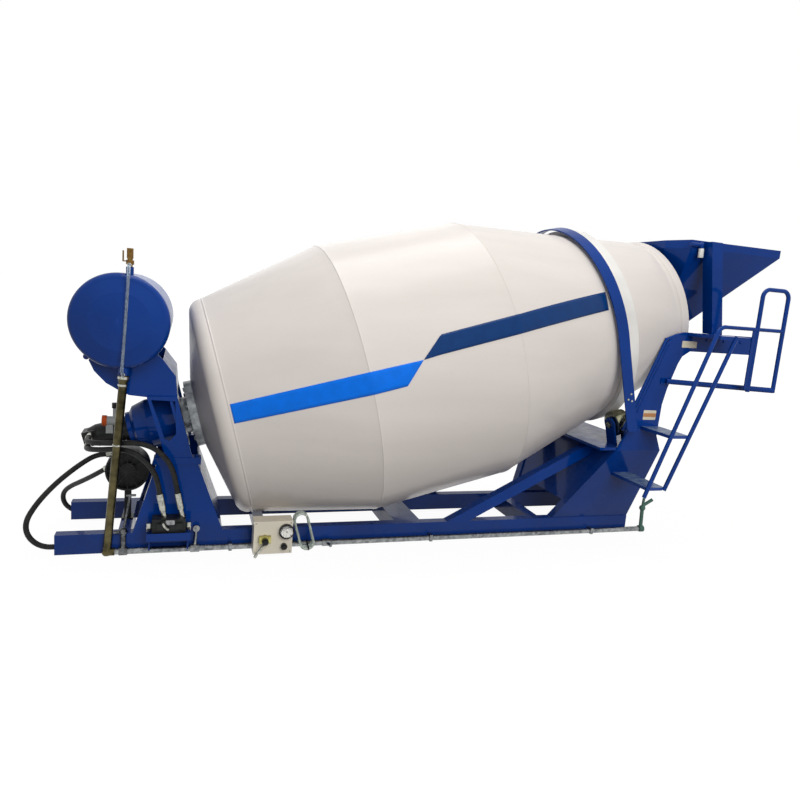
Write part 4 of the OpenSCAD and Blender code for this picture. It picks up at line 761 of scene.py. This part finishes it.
class MIXER_OT_caps(bpy.types.Operator):
    """Puts a ribbed orange cap over the filter's front end and a black cap over its breather"""
    bl_idname = "mixer.caps"
    bl_label = "Fit the filter's caps"

    def execute(self, context):
        sides = 96
        profile = np.array([[-0.002, 0.026], [0.0, 0.040], [0.003, 0.0425], [0.030, 0.0425], [0.035, 0.0415],
                            [0.036, 0.036]])
        start = from_rail([291, -150, 978])
        cap = lathe(profile, start, RIGHT, sides=sides)
        # ribs: every second pair of columns of the cap's straight wall lies lower
        centre = (start + profile[2:4, :1] * RIGHT)[:, None]
        rib = 1 - 0.03 * (np.arange(sides) % 4 < 2)[None, :, None]
        cap[2:4] = centre + (cap[2:4] - centre) * rib
        solid("filter_cap", cap, "orange", "black_paint")
        profile = [[-0.0005, 0.016], [0.0, 0.0195], [0.038, 0.0200], [0.0415, 0.017], [0.042, 0.012]]
        solid("breather_cap", lathe(profile, from_rail([380, -150, 1080]), UP, sides=32), "knob", "black_paint")
        return {"FINISHED"}


class MIXER_OT_junction(bpy.types.Operator):
    """Puts bright nuts on the junction's side ports, with its blank plate and the curved bar of its handle"""
    bl_idname = "mixer.junction"
    bl_label = "Fit the junction block"

    def execute(self, context):
        nuts = Skin()
        nut = [[-0.030, 0.0305], [-0.028, 0.036], [-0.004, 0.036], [0.0, 0.032], [0.001, 0.020]]
        for x, way in ((648, -RIGHT), (970, RIGHT)):
            nuts.grid(lathe(nut, from_rail([x, -559, 247]), way, sides=6), caps=(True, True))
        nuts.piece("port_nuts", FINISH["bright"], "frame", "zinc_plate", smooth=False)
        plate = sheet_plate(Skin(), from_rail([815, -618, 296]), RIGHT, UP, 0.070, 0.036, 0.0012)
        plate.piece("blank_plate", FINISH["galvanised"], "frame", "galvanised", smooth=False)
        bar = spline(from_rail([[768, -639, 300], [776, -641, 278], [792, -641, 258], [808, -641, 249]]), 0.004)
        solid("block_handle", carried(bar, 0.0098, sides=14), "bright", "zinc_plate")
        return {"FINISHED"}


class MIXER_OT_lever(bpy.types.Operator):
    """Makes the control box's lever: a black ball over its hub and a bright rod"""
    bl_idname = "mixer.lever"
    bl_label = "Make the lever"

    def execute(self, context):
        hub, way = aimed([1525, -702, 140], [1447, -706, 22])
        ball_r, angle = 0.0268, np.radians(np.linspace(-84, 84, 15))
        ball = np.c_[ball_r * np.sin(angle), ball_r * np.cos(angle)]
        solid("lever_hub", lathe(ball, hub, NEAR, sides=40), "knob", "black_paint")
        rod = [[0, 0.0095], [0.118, 0.0095], [0.121, 0.0125], [0.140, 0.0125], [0.1435, 0.010]]
        solid("lever_rod", lathe(rod, hub, way, sides=24), "bright", "zinc_plate")
        return {"FINISHED"}


class MIXER_OT_nozzle(bpy.types.Operator):
    """Puts the pale plastic end on the flush pipe beside the hopper's post"""
    bl_idname = "mixer.nozzle"
    bl_label = "Fit the flush nozzle"

    def execute(self, context):
        top, way = aimed([5305, -665.3, 2788], [5313, -665.3, 2678])
        profile = [[0.030, 0.0215], [0.032, 0.0235], [0.108, 0.0235], [0.1115, 0.021]]
        solid("flush_nozzle", lathe(profile, top, way, sides=32), "dial", "cream_paint")
        return {"FINISHED"}


class MIXER_OT_gauge(bpy.types.Operator):
    """Makes the gauge's white dial with plain ticks and a needle, under a low window in a black bezel"""
    bl_idname = "mixer.gauge"
    bl_label = "Make the gauge"

    def execute(self, context):
        centre = from_rail([1693, -668, 208])
        solid("gauge_dial", lathe([[0, 0.050], [0.0006, 0.0499]], centre, NEAR), "dial", "cream_paint")
        ticks = Skin()
        for k, angle in enumerate(np.radians(np.linspace(225, -45, 25))):
            inner, wide = (0.036, 0.0016) if k % 4 == 0 else (0.040, 0.0008)
            corners = [[inner, -wide], [0.046, -wide], [0.046, wide], [inner, wide]]
            ticks.grid(self.mark(centre, angle, corners, 0.0005, 0.0011), caps=(True, True))
        ticks.piece("gauge_ticks", FINISH["ink"], "frame", "black_paint", smooth=False)
        corners = [[-0.012, -0.002], [0.040, -0.0006], [0.040, 0.0006], [-0.012, 0.002]]
        needle = Skin().grid(self.mark(centre, math.radians(97), corners, 0.0012, 0.0024), caps=(True, True))
        boss = [[0.001, 0.006], [0.0035, 0.006], [0.0042, 0.004]]
        needle.grid(lathe(boss, centre, NEAR, sides=24), caps=(True, True))
        needle.piece("gauge_needle", FINISH["ink"], "frame", "black_paint", smooth=False)
        bezel = lathe([[0.0, 0.0515], [0.0062, 0.0515], [0.0085, 0.0535], [0.0085, 0.0570], [0.006, 0.0595],
                       [-0.012, 0.0595], [-0.012, 0.0585]], centre, NEAR, sides=64)
        skin = Skin().grid(bezel, wrap_rows=True, flip=True)
        skin.piece("gauge_bezel", FINISH["knob"], "frame", "black_paint")
        window = [[0.0044, 0.0515], [0.0056, 0.0515], [0.0070, 0.036], [0.0076, 0.012], [0.0077, 0.001]]
        solid("gauge_glass", lathe(window, centre, NEAR), "glass", "clear_vinyl")
        return {"FINISHED"}

    @staticmethod
    def mark(centre, angle, corners, low, high):
        """A flat mark on the dial: corners as [outward, across] turned to an angle, between two heights."""
        way, corners = math.cos(angle) * RIGHT + math.sin(angle) * UP, np.array(corners)
        ring = centre + corners[:, :1] * way + corners[:, 1:] * np.cross(NEAR, way)
        return np.array([ring + NEAR * low, ring + NEAR * high])


class MIXER_OT_stickers(bpy.types.Operator):
    """Lays blank reflective film on the near arm: a cream strip, and a patch with an orange band across it"""
    bl_idname = "mixer.stickers"
    bl_label = "Lay the blank stickers"

    def execute(self, context):
        strip, band = Skin(), Skin()
        sheet_plate(strip, from_rail([5250, -760, 1892]), RIGHT, UP, 0.165, 0.060, 0.0012, corner=0.06)
        sheet_plate(strip, from_rail([4922, -760, 1231]), RIGHT, UP, 0.138, 0.088, 0.0010, corner=0.06)
        strip.piece("blank_stickers", FINISH["sticker"], "frame", "cream_paint", smooth=False)
        sheet_plate(band, from_rail([4922, -761, 1231]), RIGHT, UP, 0.136, 0.034, 0.0010, corner=0.06)
        band.piece("orange_band", FINISH["band"], "frame", "cream_paint", smooth=False)
        return {"FINISHED"}


# Stage


def plain_sight(tree):
    """A node that is 1 for rays from the camera, off gloss or through clear plastic, and 0 for light."""
    path = add(tree, "ShaderNodeLightPath")
    straight = add(tree, "ShaderNodeMath", {0: (path, "Is Camera Ray"), 1: (path, "Is Glossy Ray")},
                   operation="MAXIMUM")
    return add(tree, "ShaderNodeMath", {0: (straight, 0), 1: (path, "Is Transmission Ray")},
               operation="MAXIMUM")


def placing(side, up, back, place):
    """Placing matrix of a lamp or camera: its own right, up and backward directions, and its place."""
    return Matrix([[side[i], up[i], back[i], place[i]] for i in range(3)] + [[0, 0, 0, 1]])


class MIXER_OT_stage(bpy.types.Operator):
    """Sets the pale floor, the soft lamps, the white surround and the photograph's camera"""
    bl_idname = "mixer.stage"
    bl_label = "Set the stage"

    def execute(self, context):
        scene = context.scene
        scene.view_settings.view_transform = "Standard"
        self.floor(scene)
        self.surround(scene)
        for name, place, aim, size, watts in (
                ("sky_lamp", (-0.5, 0.5, 8.5), (0.0, 0.0, 1.0), 5.0, 260),
                ("front_lamp", (0.0, -9.6, 5.2), (0.0, 0.0, 1.0), 7.0, 640),
                ("back_lamp", (0.0, 8.0, 6.0), (0.0, 0.0, 1.2), 6.0, 60)):
            data = bpy.data.lights.new(name, "AREA")
            data.size, data.energy = size, watts
            lamp = bpy.data.objects.new(name, data)
            lamp.visible_glossy = name != "front_lamp"  # the gloss shows the two other lamps alone
            scene.collection.objects.link(lamp)
            back, side, up = across(np.array(place) - np.array(aim))
            lamp.matrix_world = placing(side, up, back, place)
        self.camera(scene, scene.mixer_view)
        return {"FINISHED"}

    @staticmethod
    def floor(scene):
        """A wide flat disc, white to the camera, that keeps the object's shadow."""
        made, tree, shader, where = new_finish("pale_floor")
        shader.inputs["Base Color"].default_value = (*linear("#676563"), 1)
        shader.inputs["Roughness"].default_value = 0.9
        part = add(tree, "ShaderNodeMath", {0: (plain_sight(tree), 0), 1: 0.5}, operation="MULTIPLY")
        far = add(tree, "ShaderNodeVectorMath", {0: where}, operation="LENGTH")
        level = add(tree, "ShaderNodeMapRange", {"Value": (far, "Value"), 1: 4.5, 2: 8.0, 3: 1.9, 4: 2.05})
        glow = add(tree, "ShaderNodeEmission", {"Color": linear("#FFFFFF"), "Strength": (level, 0)})
        both = add(tree, "ShaderNodeMixShader", {0: (part, 0), 1: (shader, "BSDF"), 2: (glow, "Emission")})
        output = next(n for n in tree.nodes if n.bl_idname == "ShaderNodeOutputMaterial")
        tree.links.new(both.outputs[0], output.inputs["Surface"])
        disc = lathe([[0, 0.05], [0, 20], [0, 120]], (0, 0, -0.0005), (0, 0, 1), sides=64)
        skin = Skin().grid(disc, caps=(True, False), flip=True)
        floor = bpy.data.objects.new("floor", skin.mesh("floor", made, smooth=False))
        scene.collection.objects.link(floor)

    @staticmethod
    def surround(scene):
        """A world that lights softly and is white where the camera or a reflection sees it."""
        world = bpy.data.worlds.new("white_surround")
        world.use_nodes = True
        tree = world.node_tree
        tree.nodes.clear()
        seen = plain_sight(tree)
        soft = add(tree, "ShaderNodeBackground", {"Color": linear("#F9FBFF"), "Strength": 0.28})
        white = add(tree, "ShaderNodeBackground", {"Color": linear("#FFFFFF"), "Strength": 1.0})
        both = add(tree, "ShaderNodeMixShader", {0: (seen, 0), 1: (soft, 0), 2: (white, 0)})
        add(tree, "ShaderNodeOutputWorld", {"Surface": (both, 0)})
        scene.world = world

    @staticmethod
    def camera(scene, view):
        """The photograph's camera: yaw to the right, pitch up, then roll about its own line of sight."""
        fwd = np.array([math.sin(view.yaw) * math.cos(view.pitch), math.cos(view.yaw) * math.cos(view.pitch),
                        math.sin(view.pitch)])
        right = np.array([math.cos(view.yaw), -math.sin(view.yaw), 0.0])
        up = np.cross(right, fwd)
        side = math.cos(view.roll) * right + math.sin(view.roll) * up
        top = -math.sin(view.roll) * right + math.cos(view.roll) * up
        data = bpy.data.cameras.new("photo_camera")
        data.lens, data.sensor_width = view.lens, 36.0
        data.clip_end = 300
        made = bpy.data.objects.new("photo_camera", data)
        made.matrix_world = placing(side, top, -fwd, view.eye)
        scene.collection.objects.link(made)
        scene.camera = made


class MIXER_PT_dressing(bpy.types.Panel):
    """Lists the dressing steps and their sizes"""
    bl_idname = "MIXER_PT_dressing"
    bl_label = "Mixer dressing"
    bl_space_type = "VIEW_3D"
    bl_region_type = "UI"
    bl_category = "Mixer"

    def draw(self, context):
        layout = self.layout
        for step in STEPS:
            layout.operator(step.bl_idname)
        for group in ("mixer_paint", "mixer_drum", "mixer_fittings", "mixer_view"):
            settings = getattr(context.scene, group)
            column = layout.column(align=True)
            for name in settings.__annotations__:
                column.prop(settings, name)


STEPS = (MIXER_OT_paint, MIXER_OT_stage, MIXER_OT_hoses, MIXER_OT_hank, MIXER_OT_sight_tube, MIXER_OT_drum,
         MIXER_OT_fasteners, MIXER_OT_couplings, MIXER_OT_caps, MIXER_OT_junction, MIXER_OT_lever,
         MIXER_OT_nozzle, MIXER_OT_gauge, MIXER_OT_stickers)
GROUPS = {"mixer_paint": MixerPaint, "mixer_drum": MixerDrum, "mixer_fittings": MixerFittings,
          "mixer_view": MixerView}


def register():
    for group in GROUPS.values():
        bpy.utils.register_class(group)
    for step in (*STEPS, MIXER_PT_dressing):
        bpy.utils.register_class(step)
    for name, group in GROUPS.items():
        setattr(bpy.types.Scene, name, bpy.props.PointerProperty(type=group))


def unregister():
    for name in GROUPS:
        delattr(bpy.types.Scene, name)
    for step in reversed((*GROUPS.values(), *STEPS, MIXER_PT_dressing)):
        bpy.utils.unregister_class(step)


def main():
    register()
    for step in STEPS:
        category, name = step.bl_idname.split(".")
        getattr(getattr(bpy.ops, category), name)()


if __name__ == "__main__":
    main()
